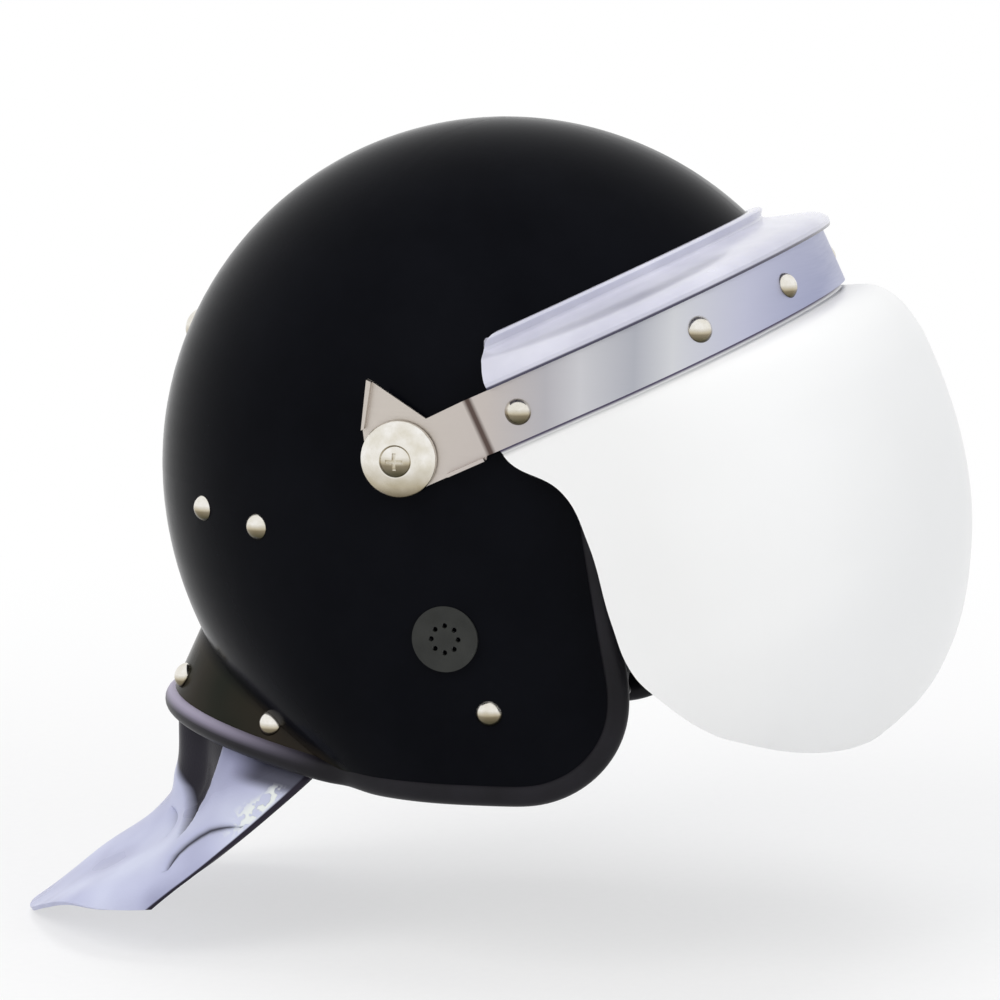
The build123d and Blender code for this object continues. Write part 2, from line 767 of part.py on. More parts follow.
def band_rivet_planes():
    """Planes on the band's outside, in its own frame, from right to left."""
    planes = []
    for side in (-1, 1):
        planes.append(Plane((band_rivet_side_ahead, side * band_half_width, band_rivet_height),
                            x_dir=(1, 0, 0), z_dir=(0, side, 0)))
        for angle in band_rivet_angles:
            turn = radians(angle)
            length = band_front - band_straight
            point = (band_straight + length * sin(turn), side * band_half_width * cos(turn),
                     band_rivet_height)
            out = (sin(turn) / length, side * cos(turn) / band_half_width, 0)
            planes.append(Plane(point, x_dir=Vector(out).cross(Vector(0, 0, 1)), z_dir=out))
    return planes


def drilled(body):
    return body - [plane * Cylinder(rivet_shank_radius, 3 * band_stack())
                   for plane in band_rivet_planes()]


def band_stack():
    """Thickness of band, seal flange and visor flange together."""
    return band_thickness + seal_flange_thickness + visor_thickness


def make_band_rivet(plane, outside, inside):
    tools = rivet_tools(band_stack(), rivet_head_radius, rivet_head_height)
    return band_plane() * seated(plane, tools, outside, inside)


def bubble(inset):
    """Solid bubble of the visor, drawn in by an inset."""
    sections = []
    for level, front, side, straight in zip(visor_level_shares, visor_front_shares,
                                            visor_side_shares, visor_straight_shares):
        height = visor_shelf - inset + level * (visor_bottom - visor_shelf + 2 * inset)
        face = bow_face(straight * band_straight, front * visor_front - inset,
                        side * band_half_width - inset)
        sections.append(Pos(0, 0, height) * face)
    return loft(sections)


def visor_face():
    """Side view of what the visor keeps: a curved back and lower edge."""
    depth = -visor_bottom
    points = [(across * visor_front, -down * depth) for across, down in visor_edge_shares]
    far = visor_front + overrun
    edge = Spline(*points)
    rest = Polyline(edge @ 1, (far, points[-1][1]), (far, overrun), (points[0][0], overrun),
                    edge @ 0)
    return make_face([edge, rest])


def make_visor():
    inset = band_thickness + seal_flange_thickness
    flange = bow(inset, visor_shelf - visor_thickness, visor_flange_top)
    body = bubble(0) - bubble(visor_thickness) + flange
    body -= bow(inset + visor_thickness, visor_shelf - 2 * visor_thickness, overrun)
    body &= Plane.XZ * extrude(visor_face(), band_half_width + overrun, both=True)
    return drilled(body)


def seal_skin(inset):
    sections = []
    for level, front, side, straight in zip(seal_level_shares, seal_front_shares,
                                            seal_side_shares, seal_straight_shares):
        height = band_top - inset + level * seal_rise
        face = bow_face(straight * band_straight, front * band_front - inset,
                        side * band_half_width - inset)
        sections.append(Pos(0, 0, height) * face)
    return loft(sections, ruled=True)


def make_seal():
    """Channel from the band's top edge back to the shell, with a clamped flange."""
    body = seal_skin(0) - seal_skin(seal_thickness)
    sill = bow(-seal_lip_out, band_top, band_top + seal_thickness)
    flange = bow(band_thickness, seal_flange_bottom, band_top + seal_thickness)
    body += sill + flange
    body -= bow(band_thickness + seal_flange_thickness, -overrun, band_top + seal_thickness)
    body -= band_plane().location.inverse() * grown_round(seal_clearance)
    block = make_face(Polyline((seal_back, -overrun), (band_front + overrun, -overrun),
                               (band_front + overrun, overrun), (seal_back + seal_corner, overrun),
                               (seal_back + seal_corner, band_top + seal_rise),
                               (seal_back, band_top + seal_rise - seal_corner), close=True))
    body &= Plane.XZ * extrude(block, band_half_width + overrun, both=True)
    return drilled(body)


def grown_round(grow):
    """Whole egg of the shell's upper half."""
    ball = scale(Sphere(1), by=(round_radius + grow, shell_half_width + grow, round_radius + grow))
    return Pos(round_ahead, 0, -round_drop) * ball


# Pivots

def arm_inside():
    return band_half_width - joggle_step - band_thickness


def make_pivot_collar(side, outer):
    """Collar seated on the shell, with the journal that the arm turns on."""
    top = arm_inside() - pivot_side_gap
    body = side_cylinder(side, pivot_collar_radius, shell_half_width - 2 * shell_wall, top) - outer
    journal_end = arm_inside() + band_thickness + pivot_side_gap
    body += side_cylinder(side, pivot_journal_radius, top - pivot_side_gap, journal_end)
    bore = pivot_bolt_radius + pivot_bolt_clearance
    return body - side_cylinder(side, bore, 0, journal_end + shell_wall)


def cap_foot():
    """Distance from the middle to the cap's foot, past arm and washer."""
    return arm_inside() + band_thickness + pivot_side_gap + pivot_washer_thickness


def make_pivot_washer(side):
    foot = cap_foot() - pivot_washer_thickness
    body = side_cylinder(side, pivot_washer_radius, foot, cap_foot())
    return body - side_cylinder(side, pivot_bolt_radius + pivot_bolt_clearance, 0, cap_foot() + foot)


def cap_shape(inset):
    """Domed cap on the XY plane: an upright edge under a shallow dome."""
    radius = pivot_cap_radius - inset
    rise = pivot_cap_height - pivot_cap_edge
    edge = Cylinder(radius, pivot_cap_edge, align=BASE)
    sphere = (pivot_cap_radius ** 2 + rise ** 2) / (2 * rise) - inset
    crown = Pos(0, 0, pivot_cap_height - inset - sphere) * Sphere(sphere)
    crown &= Cylinder(radius, pivot_cap_height, align=BASE)
    return edge + crown


def make_pivot_cap(side):
    body = cap_shape(0) - cap_shape(pivot_cap_wall)
    body += Cylinder(pivot_journal_radius, pivot_cap_height - pivot_cap_wall, align=BASE)
    seat = pivot_cap_height - pivot_cap_wall
    body -= Pos(0, 0, seat) * Cylinder(pivot_screw_head_radius + pivot_bolt_clearance,
                                       pivot_cap_height, align=BASE)
    body -= Cylinder(pivot_bolt_radius + pivot_bolt_clearance, 2 * pivot_cap_height)
    return side_axis(side) * (Pos(0, 0, cap_foot()) * body)


def nut_face(side):
    """Distance from the middle to the nut's outer face."""
    surface = abs(surface_point(0.0, 0.0, side).Y)
    return surface - shell_wall - pivot_nut_washer_thickness


def make_pivot_screw(side):
    seat = cap_foot() + pivot_cap_height - pivot_cap_wall
    start = nut_face(side) - pivot_nut_height
    head_part = dome(pivot_screw_head_radius, pivot_screw_head_height)
    head_part &= Cylinder(pivot_screw_head_radius, pivot_screw_head_height, align=BASE)
    slot = Box(2 * pivot_recess_radius, pivot_recess_width, 2 * pivot_recess_depth)
    cross = slot + Rot(0, 0, 90) * slot
    head_part -= Pos(0, 0, pivot_screw_head_height) * cross
    shank = Pos(0, 0, start - seat) * Cylinder(pivot_bolt_radius, seat - start + pivot_recess_width,
                                               align=BASE)
    shank -= Pos(0, 0, pivot_recess_width) * Cylinder(pivot_screw_head_radius,
                                                      pivot_screw_head_height, align=BASE)
    return side_axis(side) * (Pos(0, 0, seat) * (head_part + shank))


def make_pivot_nut(side, inner):
    """Hexagonal nut with its washer seated inside the shell, in one piece."""
    face = nut_face(side)
    hexagon = extrude(RegularPolygon(pivot_nut_radius, 6), pivot_nut_height)
    body = side_axis(side) * (Pos(0, 0, face - pivot_nut_height) * hexagon)
    body += side_cylinder(side, pivot_nut_washer_radius, face, face + 2 * shell_wall) & inner
    return body - side_cylinder(side, pivot_bolt_radius, 0, shell_half_width)


# Assembly

def make_parts():
    outer = shell_form(0)
    inner = shell_form(-shell_wall)
    plain_shell = (outer - inner) & side_solid(rim_face(0))
    sheet = make_guard_sheet()
    straps = {side: make_strap(side) for side in (-1, 1)}
    parts = {
        "shell": make_shell(plain_shell),
        "edge_trim": make_trim(plain_shell),
        "impact_liner": make_liner(),
        "crown_pad": make_crown_pad(),
        "brow_pad": make_band_pad(0.0, brow_pad_angle, brow_pad_lift_angle),
        "rear_pad": make_band_pad(180.0, rear_pad_angle, rear_pad_lift_angle),
        "strap_right": straps[-1],
        "strap_left": straps[1],
        "buckle_socket": make_buckle_socket(),
        "buckle_tongue": make_buckle_tongue(),
        "chin_cup": make_chin_cup(),
    }
    parts.update(mirrored("cheek_pad", make_cheek_pad))
    parts.update(mirrored("ear_vent", lambda side: make_vent(side, outer)))

    plain = rivet_tools(shell_wall, rivet_head_radius, rivet_head_height)
    through_strap = rivet_tools(shell_wall, rivet_head_radius, rivet_head_height,
                                strap_wall_gap + strap_thickness)
    through_guard = rivet_tools(shell_wall, rivet_head_radius, rivet_head_height,
                                guard_wall_gap + guard_thickness)
    guard = sheet
    for name, plane in shell_rivet_planes().items():
        if name.startswith("side"):
            parts[name] = seated(plane, plain, outer, inner)
        elif name.startswith("cheek"):
            side = -1 if name.endswith("right") else 1
            parts[name] = seated(plane, through_strap, outer, inner) - straps[side]
        else:
            guard -= plane * Cylinder(rivet_shank_radius, round_radius / 4)
            parts[name] = seated(plane, through_guard, outer, inner) - guard
    parts["neck_guard"] = guard
    stud = rivet_tools(shell_wall, rear_stud_radius, rear_stud_height)
    parts["rear_stud"] = seated(rear_stud_plane(), stud, outer, inner)

    parts.update(mirrored("pivot_collar", lambda side: make_pivot_collar(side, outer)))
    parts.update(mirrored("pivot_washer", make_pivot_washer))
    parts.update(mirrored("pivot_cap", make_pivot_cap))
    parts.update(mirrored("pivot_screw", make_pivot_screw))
    parts.update(mirrored("pivot_nut", lambda side: make_pivot_nut(side, inner)))

    lean = band_plane()
    parts["visor_band"] = lean * make_band()
    parts["visor"] = lean * make_visor()
    parts["brow_seal"] = lean * make_seal()
    outside = bow(0, -overrun, overrun)
    inside = bow(band_stack(), -overrun, overrun)
    for count, plane in enumerate(band_rivet_planes(), 1):
        parts[f"band_rivet_{count}"] = make_band_rivet(plane, outside, inside)
    return parts


os.makedirs("parts", exist_ok=True)
for part_name, part_solid in make_parts().items():
    export_step(part_solid, f"parts/{part_name}.step")
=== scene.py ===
import json
import math

import bmesh
import bpy
from mathutils import Matrix, Vector

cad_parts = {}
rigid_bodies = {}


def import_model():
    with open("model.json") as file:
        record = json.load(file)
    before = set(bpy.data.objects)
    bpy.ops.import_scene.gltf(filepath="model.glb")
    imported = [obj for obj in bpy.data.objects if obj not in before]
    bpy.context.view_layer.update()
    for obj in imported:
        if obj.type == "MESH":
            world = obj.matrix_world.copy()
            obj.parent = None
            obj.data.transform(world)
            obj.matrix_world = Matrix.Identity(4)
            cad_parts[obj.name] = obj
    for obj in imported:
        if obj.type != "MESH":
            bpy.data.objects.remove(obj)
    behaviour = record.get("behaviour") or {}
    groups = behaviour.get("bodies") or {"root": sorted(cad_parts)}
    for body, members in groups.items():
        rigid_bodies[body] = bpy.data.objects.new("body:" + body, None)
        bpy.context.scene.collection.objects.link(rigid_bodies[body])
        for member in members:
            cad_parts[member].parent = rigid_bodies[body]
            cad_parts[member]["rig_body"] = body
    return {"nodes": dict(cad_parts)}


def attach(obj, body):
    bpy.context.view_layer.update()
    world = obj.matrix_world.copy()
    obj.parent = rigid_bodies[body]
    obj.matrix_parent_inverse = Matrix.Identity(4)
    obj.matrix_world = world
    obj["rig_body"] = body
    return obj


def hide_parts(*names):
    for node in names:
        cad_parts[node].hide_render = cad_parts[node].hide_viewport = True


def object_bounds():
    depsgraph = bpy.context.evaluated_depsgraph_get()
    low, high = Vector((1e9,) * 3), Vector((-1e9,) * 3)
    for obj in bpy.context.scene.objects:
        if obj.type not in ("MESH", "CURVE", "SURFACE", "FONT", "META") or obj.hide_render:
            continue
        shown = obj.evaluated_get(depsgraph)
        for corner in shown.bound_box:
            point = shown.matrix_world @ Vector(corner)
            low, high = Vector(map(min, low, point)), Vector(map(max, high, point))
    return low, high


# Looks of a riot helmet: shell, rubber edging, visor under a metal band, vinyl
# brow seal, pads, chin strap and hanging neck guard. Lengths are in millimetres
# until a mesh is finished, and +X is forward, +Y the wearer's left, +Z up.

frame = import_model()
cad_low, cad_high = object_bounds()
nodes = frame["nodes"]

MM = 0.001
merge_distance = 0.002 * MM
block_reach = 230.0

# Shell and its edging. The rim is found by its fold, cut into even steps, and its
# directions are smoothed in more passes than its places.
round_middle = Vector((18.0, 0.0, -23.0))
nape_start = Vector((-20.0, 0.0, -147.3))
nape_angle = 27.0
widest_rim = 114.0
rim_fold = 40.0
rim_flatness = 0.03
shortest_run = 20.0
rim_gap = 1.0
rim_steps = 460
rim_place_passes = 4
rim_turn_passes = 14
trim_segments = 24
trim_inset = 1.4
trim_rise = 2.6
trim_half_wide = 4.0
trim_half_high = 5.0

# Where the edging faces up at the back and takes a painted pale reflection
reflection_turn = (0.1, 0.8)
reflection_behind = (-40.0, -120.0)

# Band, seal and visor share a frame that leans back
lean = Matrix.Rotation(math.radians(-25.0), 4, "Y")
band_front = 175.0
band_straight = 85.0
band_half_width = 127.0
band_bottom = -13.5
band_top = 11.0
band_joggle = 36.3
bow_segments = 280
cutter_past = 1.0
bow_side_share = 0.8


# Modelling helpers

def added(name, data):
    """New object of the scene with its data, at the origin."""
    made = bpy.data.objects.new(name, data)
    bpy.context.scene.collection.objects.link(made)
    return made


def new_mesh(name, bm, place=None, scale=MM):
    """Object at the origin with the bmesh's shape, brought to metres."""
    if place is not None:
        bmesh.ops.transform(bm, matrix=place, verts=bm.verts)
    bmesh.ops.scale(bm, vec=(scale, scale, scale), verts=bm.verts)
    mesh = bpy.data.meshes.new(name)
    bm.to_mesh(mesh)
    bm.free()
    return added(name, mesh)


def node_mesh(node):
    """Mesh of a CAD node, with the corners that its faces share made one."""
    bm = bmesh.new()
    bm.from_mesh(nodes[node].data)
    bmesh.ops.remove_doubles(bm, verts=bm.verts, dist=merge_distance)
    return bm


def evaluated_mesh(piece):
    """New mesh of a piece, with its modifiers or its curve worked out."""
    bpy.context.view_layer.update()
    graph = bpy.context.evaluated_depsgraph_get()
    return bpy.data.meshes.new_from_object(piece.evaluated_get(graph))


def settle(piece):
    """Apply a piece's modifiers to its mesh."""
    mesh = evaluated_mesh(piece)
    piece.modifiers.clear()
    old = piece.data
    piece.data = mesh
    bpy.data.meshes.remove(old)
    return piece


def combine(piece, tool, how):
    """Boolean of a piece with a tool piece, which is used up."""
    cut = piece.modifiers.new("cut", "BOOLEAN")
    cut.operation = how
    cut.solver = "EXACT"
    cut.object = tool
    settle(piece)
    bpy.data.objects.remove(tool)
    return piece


def smooth(piece, angle=35.0):
    """Shade a piece smooth, apart from its edges over an angle in degrees."""
    piece.data.shade_smooth()
    piece.data.set_sharp_from_angle(angle=math.radians(angle))
    return piece


def eased(piece, width, segments=3, angle=35.0):
    """Round a piece's sharp edges by a width in millimetres."""
    bevel = piece.modifiers.new("ease", "BEVEL")
    bevel.width = width * MM
    bevel.segments = segments
    bevel.limit_method = "ANGLE"
    bevel.angle_limit = math.radians(angle)
    bevel.use_clamp_overlap = True
    bevel.harden_normals = False
    settle(piece)
    return smooth(piece, angle)


def fine_copy(node, width, segments=3, angle=35.0):
    """Merged copy of a CAD node with its sharp edges rounded."""
    bm = node_mesh(node)
    bmesh.ops.dissolve_limit(bm, angle_limit=math.radians(0.4), verts=bm.verts, edges=bm.edges)
    piece = new_mesh(node + "_finished", bm, scale=1.0)
    for layer in ("custom_normal", "sharp_edge", "sharp_face"):
        found = piece.data.attributes.get(layer)
        if found is not None:
            piece.data.attributes.remove(found)
    return eased(piece, width, segments, angle) if width else smooth(piece, angle)


def settle_in(piece, body, material, slot, *replaced):
    """Give a piece its body, finish and the CAD nodes that it stands for."""
    piece.name = replaced[0] + "_finished"
    piece.data.name = piece.name
    piece.data.materials.clear()
    piece.data.materials.append(material)
    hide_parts(*replaced)
    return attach(piece, body)


def curve_value(xs, ys, x):
    """Smooth value through a table, by Hermite pieces."""
    last = len(xs) - 1
    at = max(i for i in range(last) if xs[i] <= x or i == 0)

    def slope(i):
        a, b = max(i - 1, 0), min(i + 1, last)
        return (ys[b] - ys[a]) / (xs[b] - xs[a])

    wide = xs[at + 1] - xs[at]
    t = (x - xs[at]) / wide
    return ((1 + 2 * t) * (1 - t) ** 2 * ys[at] + t * (1 - t) ** 2 * wide * slope(at)
            + t ** 2 * (3 - 2 * t) * ys[at + 1] + t ** 2 * (t - 1) * wide * slope(at + 1))


def line_value(xs, ys, x):
    """Value through a table by straight runs."""
    at = max(i for i in range(len(xs) - 1) if xs[i] <= x or i == 0)
    share = (x - xs[at]) / (xs[at + 1] - xs[at])
    return ys[at] + share * (ys[at + 1] - ys[at])


def eased_step(low, high, x):
    """0 below low, 1 above high and a smooth rise between."""
    share = min(1.0, max(0.0, (x - low) / (high - low)))
    return share * share * (3 - 2 * share)


def marked(piece, name, value):
    """Keep a value at each point of a piece, from its place and outward direction."""
    layer = piece.data.attributes.new(name, "FLOAT", "POINT")
    turns = piece.data.vertex_normals
    layer.data.foreach_set("value", [value(v.co / MM, turns[v.index].vector)
                                     for v in piece.data.vertices])
    return piece


def swept(segments, rows, place, ends):
    """Skin through rows: place gives a corner's spot from its turn on a circle and the row.

    The ends are left open, filled or joined to each other.
    """
    bm = bmesh.new()
    bmesh.ops.create_circle(bm, segments=segments, radius=1.0)
    turn = bm.verts.layers.float_vector.new("turn")
    for v in bm.verts:
        v[turn] = v.co
        v.co = place(v[turn], rows[0])
    first = ring = list(bm.edges)
    if ends == "filled":
        bmesh.ops.holes_fill(bm, edges=ring, sides=0)
    for row in rows[1:]:
        made = bmesh.ops.extrude_edge_only(bm, edges=ring)["geom"]
        for item in made:
            if isinstance(item, bmesh.types.BMVert):
                item.co = place(item[turn], row)
        ring = [e for e in made if isinstance(e, bmesh.types.BMEdge) and e.is_boundary]
    if ends == "filled":
        bmesh.ops.holes_fill(bm, edges=ring, sides=0)
    if ends == "joined":
        bmesh.ops.bridge_loops(bm, edges=ring + first)
    bmesh.ops.recalc_face_normals(bm, faces=bm.faces)
    return bm


# Rubber edging

def rim_edges(bm):
    """Edges between the shell's outer skin and its cut rim, with both directions."""
    found = {}
    for edge in bm.edges:
        at = edge.verts[0].co
        if (abs(at.y) > widest_rim * MM or len(edge.link_faces) != 2
                or edge.calc_face_angle() < math.radians(rim_fold)):
            continue
        a, b = edge.link_faces
        flat = [face for face in (a, b) if abs(face.normal.y) < rim_flatness]
        if not flat:
            continue
        cut = max(flat, key=lambda face: abs(face.normal.z))
        skin = b if cut is a else a
        if skin.normal.dot(at - round_middle * MM) > 0:
            found[edge] = (skin.normal.copy(), cut.normal.copy())
    return found


def run_length(run):
    """Length of a run of rim places."""
    return sum((b[0] - a[0]).length for a, b in zip(run, run[1:]))


def rim_runs(bm):
    """Runs of joined rim edges, each walked both ways, as (place, outward, down)."""
    found = rim_edges(bm)
    left = dict(found)
    runs = []
    while left:
        edge = next(iter(left))
        del left[edge]
        run = [(edge.verts[0], edge), (edge.verts[1], edge)]
        for _ in range(2):
            run.reverse()
            after = True
            while after:
                last = run[-1][0]
                after = [e for e in last.link_edges if e in left]
                if after:
                    del left[after[0]]
                    run.append((after[0].other_vert(last), after[0]))
        runs.append([(vert.co / MM, *found[e]) for vert, e in run])
    return [run for run in runs if run_length(run) > shortest_run]


def rim_loop(bm):
    """The rim's runs joined end to end, nearest first, into one closed loop."""
    runs = sorted(rim_runs(bm), key=len)
    loop = runs.pop()
    while runs and (loop[-1][0] - loop[0][0]).length > rim_gap:
        end = loop[-1][0]
        near = min(runs, key=lambda run: min((tip[0] - end).length for tip in (run[0], run[-1])))
        runs.remove(near)
        if (near[-1][0] - end).length < (near[0][0] - end).length:
            near.reverse()
        loop += near
    return loop


def even_rim():
    """The shell's rim in even steps, its directions smoothed more than its places."""
    bm = node_mesh("shell")
    rim = rim_loop(bm)
    bm.free()
    rim.append(rim[0])
    lengths = [0.0]
    for (a, *_), (b, *_) in zip(rim, rim[1:]):
        lengths.append(lengths[-1] + (b - a).length)
    rows, at = [], 0
    for step in range(rim_steps):
        want = lengths[-1] * step / rim_steps
        while lengths[at + 1] < want:
            at += 1
        share = (want - lengths[at]) / max(lengths[at + 1] - lengths[at], 1e-9)
        rows.append([rim[at][k].lerp(rim[at + 1][k], share) for k in range(3)])
    for turn in range(rim_turn_passes):
        after = rows[1:] + rows[:1]
        rows = [[(rows[i - 1][k] + 2 * rows[i][k] + after[i][k]) / 4
                 if k or turn < rim_place_passes else rows[i][k] for k in range(3)]
                for i in range(rim_steps)]
    return rows


def make_trim():
    """Rubber bead swept along the rim, rounded outside and gripping the wall."""
    rows = []
    for spot, out, down in even_rim():
        out = out.normalized()
        down = (down - out * down.dot(out)).normalized()
        rows.append((spot - out * trim_inset - down * trim_rise, out, down))

    def bead_spot(turn, row):
        middle, out, down = row
        return middle + out * trim_half_wide * turn.x + down * trim_half_high * turn.y

    bm = swept(trim_segments, rows, bead_spot, "joined")
    # The bead keeps a mask of its painted pale reflection, where it faces up at the back.
    return marked(smooth(new_mesh("trim", bm), 180.0), "sky",
                  lambda spot, turn: eased_step(*reflection_turn, turn.z)
                  * eased_step(*reflection_behind, spot.x))


# Band-frame forms

def bow_spot(turn, straight, front, side):
    """Place on a bow: half an ellipse ahead, straight sides and straight back."""
    if turn.x >= 0:
        return straight + (front - straight) * turn.x, side * turn.y
    back = (math.atan2(abs(turn.y), turn.x) - math.pi / 2) / (math.pi / 2)
    way = math.copysign(side, turn.y)
    if back <= bow_side_share:
        return straight * (1 - back / bow_side_share), way
    return 0.0, way * (1 - back) / (1 - bow_side_share)


def bow_skin(levels, ends):
    """Skin through bow sections, given as (height, straight, front, side)."""
    return swept(bow_segments, levels,
                 lambda turn, level: (*bow_spot(turn, *level[1:]), level[0]), ends)


# Visor. At each share of its depth stand shares of its front, side and straight part,
# and its edge is a line of shares of its front and its depth, seen from the side.
visor_shelf = -17.0
visor_bottom = -199.0
visor_front = 197.5
visor_levels = (0.0, 0.016, 0.047, 0.1, 0.183, 0.361, 0.513, 0.649, 0.806, 0.906, 0.963, 1.0)
visor_fronts = (0.891, 0.932, 0.965, 0.988, 1.0, 0.992, 0.965, 0.919, 0.835, 0.749, 0.668, 0.567)
visor_sides = (0.987, 0.992, 0.997, 1.0, 1.002, 1.0, 0.992, 0.969, 0.882, 0.772, 0.661, 0.52)
visor_straights = (1.0, 1.0, 1.0, 1.0, 1.0, 1.0, 0.98, 0.94, 0.82, 0.65, 0.55, 0.5)
visor_edge = ((0.205, 0.084), (0.288, 0.2), (0.294, 0.3135), (0.268, 0.487), (0.263, 0.598),
              (0.289, 0.669), (0.354, 0.785), (0.405, 0.835), (0.481, 0.91), (0.58, 0.99))
visor_wall = 3.0
visor_steps = 72
visor_crowding = 1.5
flange_inset = 2.7
flange_top = 8.0
flange_foot = 1.5


def visor_section(level, inset):
    """One section of the bubble at a share of its depth, drawn in by an inset."""
    height = visor_shelf - inset + level * (visor_bottom - visor_shelf + 2 * inset)
    return (height, curve_value(visor_levels, visor_straights, level) * band_straight,
            curve_value(visor_levels, visor_fronts, level) * visor_front - inset,
            curve_value(visor_levels, visor_sides, level) * band_half_width - inset)


def visor_solid(inset):
    """Bubble and upright flange as one solid, drawn in by an inset."""
    lost = flange_inset + inset
    neck = (band_straight, band_front - lost, band_half_width - lost)
    levels = [(flange_top + inset, *neck), (visor_shelf / 2, *neck),
              (visor_shelf - inset + flange_foot, *neck)]
    for step in range(visor_steps + 1):
        levels.append(visor_section((step / visor_steps) ** visor_crowding, inset))
    return new_mesh("visor solid", bow_skin(levels, "filled"), lean)


def drawn_block(points, rest):
    """Side block with a smooth line through points, closed by straight runs."""
    shape = bpy.data.curves.new("outline", "CURVE")
    shape.dimensions = "2D"
    shape.fill_mode = "BOTH"
    shape.extrude = block_reach
    shape.resolution_u = 16
    spline = shape.splines.new("BEZIER")
    spline.bezier_points.add(len(points) + len(rest) - 1)
    for index, (x, z) in enumerate(list(points) + list(rest)):
        point = spline.bezier_points[index]
        point.co = (x, z, 0)
        sharp = index >= len(points) or index in (0, len(points) - 1)
        point.handle_left_type = point.handle_right_type = "VECTOR" if sharp else "AUTO"
    spline.use_cyclic_u = True
    drawn = added("outline", shape)
    mesh = evaluated_mesh(drawn)
    bpy.data.objects.remove(drawn)
    bm = bmesh.new()
    bm.from_mesh(mesh)
    bpy.data.meshes.remove(mesh)
    bmesh.ops.remove_doubles(bm, verts=bm.verts, dist=1e-3)
    bmesh.ops.recalc_face_normals(bm, faces=bm.faces)
    upright = Matrix.Rotation(math.radians(90.0), 4, "X")
    return new_mesh("block", bm, lean @ upright)


def make_visor():
    """Hollow bubble with its flange, cut to the drawn edge at its sides and bottom."""
    visor = combine(visor_solid(0.0), visor_solid(visor_wall), "DIFFERENCE")
    points = [(visor_edge[0][0] * visor_front, block_reach / 4)]
    points += [(across * visor_front, down * visor_bottom) for across, down in visor_edge]
    rest = ((block_reach, points[-1][1]), (block_reach, block_reach / 4))
    return combine(visor, drawn_block(points, rest), "INTERSECT")


# Seal. At each share of its rise stand shares of the band's front, side and straight part.
seal_levels = (0.0, 0.17, 0.4, 0.62, 0.8, 1.0)
seal_fronts = (1.0206, 1.025, 1.0, 0.937, 0.883, 0.889)
seal_sides = (1.028, 1.033, 1.0, 0.949, 0.921, 0.93)
seal_straights = (1.0, 1.0, 0.94, 0.53, 0.14, 0.1)
seal_wall = 2.2
seal_rise = 20.0
seal_back = 47.0
seal_corner = 9.0
seal_steps = 20
seal_gap = 0.05
seal_shoulder = 1.5
seal_rounding = ((0.04, 0.9), (0.14, 0.3), (0.3, 0.05), (0.6, 0.0), (1.0, 0.0))
seal_rim = (6.6, 149.2, 113.1)
sill_insets = (-3.4, 2.7)
clamp_insets = (1.55, 2.65)
clamp_low = -7.0


def seal_end(bm):
    """Cut the skin's rear end off square, with a rounded top corner."""
    corner = Vector((seal_back + seal_corner, 0.0, band_top + seal_rise - seal_corner))
    for angle in range(0, 90, 10):
        away = Vector((-math.cos(math.radians(angle)), 0.0, math.sin(math.radians(angle))))
        geom = bm.verts[:] + bm.edges[:] + bm.faces[:]
        bmesh.ops.bisect_plane(bm, geom=geom, plane_co=corner + away * seal_corner,
                               plane_no=away, clear_outer=True)
    return bm


def seal_skin():
    """Open skin from the band's top up, over a rounded corner and in to the shell."""
    levels = []
    for step in range(seal_steps + 1):
        level = step / seal_steps
        levels.append((band_top + level * (seal_rise - seal_shoulder) + seal_gap,
                       curve_value(seal_levels, seal_straights, level) * band_straight,
                       curve_value(seal_levels, seal_fronts, level) * band_front,
                       curve_value(seal_levels, seal_sides, level) * band_half_width))
    last = levels[-1][1:]
    top = band_top + seal_rise
    for share, drop in seal_rounding:
        levels.append((top - drop, *(a + share * (b - a) for a, b in zip(last, seal_rim))))
    skin = new_mesh("seal skin", seal_end(bow_skin(levels, "open")), lean)
    wall = skin.modifiers.new("wall", "SOLIDIFY")
    wall.thickness = seal_wall * MM
    wall.offset = -1.0
    wall.use_even_offset = True
    return settle(skin)


def bow_block(inset, low, high):
    """Solid of the band's outline, drawn in by an inset, between two heights."""
    neck = (band_straight, band_front - inset, band_half_width - inset)
    return new_mesh("bow block", bow_skin([(low, *neck), (high, *neck)], "filled"), lean)


def bow_strip(insets, low, high):
    """Strip along the band between two insets, its cutter reaching past both ends."""
    outer, inner = insets
    return combine(bow_block(outer, low, high),
                   bow_block(inner, low - cutter_past, high + cutter_past), "DIFFERENCE")


def joined(pieces):
    """One piece of several, their meshes laid together."""
    bm = bmesh.new()
    for piece in pieces:
        bm.from_mesh(piece.data)
        bpy.data.objects.remove(piece)
    return new_mesh("joined", bm, scale=1.0)


def make_seal():
    """Vinyl channel: skin up to the shell, sill on the band and clamped flange."""
    skin = seal_skin()
    sill = bow_strip(sill_insets, band_top + seal_gap, band_top + seal_wall)
    flange = bow_strip(clamp_insets, clamp_low, band_top + seal_shoulder)
    ahead = ((seal_back, block_reach), (block_reach, block_reach),
             (block_reach, -block_reach), (seal_back, -block_reach))
    for piece in (sill, flange):
        combine(piece, drawn_block((), ahead), "INTERSECT")
    return joined((skin, sill, flange))


# Shader helpers, in metres

def link(tree, kind, values=None, **settings):
    """New node with its settings made and its sockets filled or linked."""
    made = tree.nodes.new("ShaderNode" + kind)
    for name, value in settings.items():
        setattr(made, name, value)
    for name, value in (values or {}).items():
        if isinstance(value, bpy.types.NodeSocket):
            tree.links.new(value, made.inputs[name])
        else:
            made.inputs[name].default_value = value
    return made


def feed(tree, shader, **sources):
    """Link each source to the shader's input of its name."""
    for name, source in sources.items():
        tree.links.new(source, shader.inputs[name.replace("_", " ")])


def math_of(tree, how, first, second=0.0):
    """Result of a sum on two values."""
    return link(tree, "Math", {0: first, 1: second}, operation=how).outputs[0]


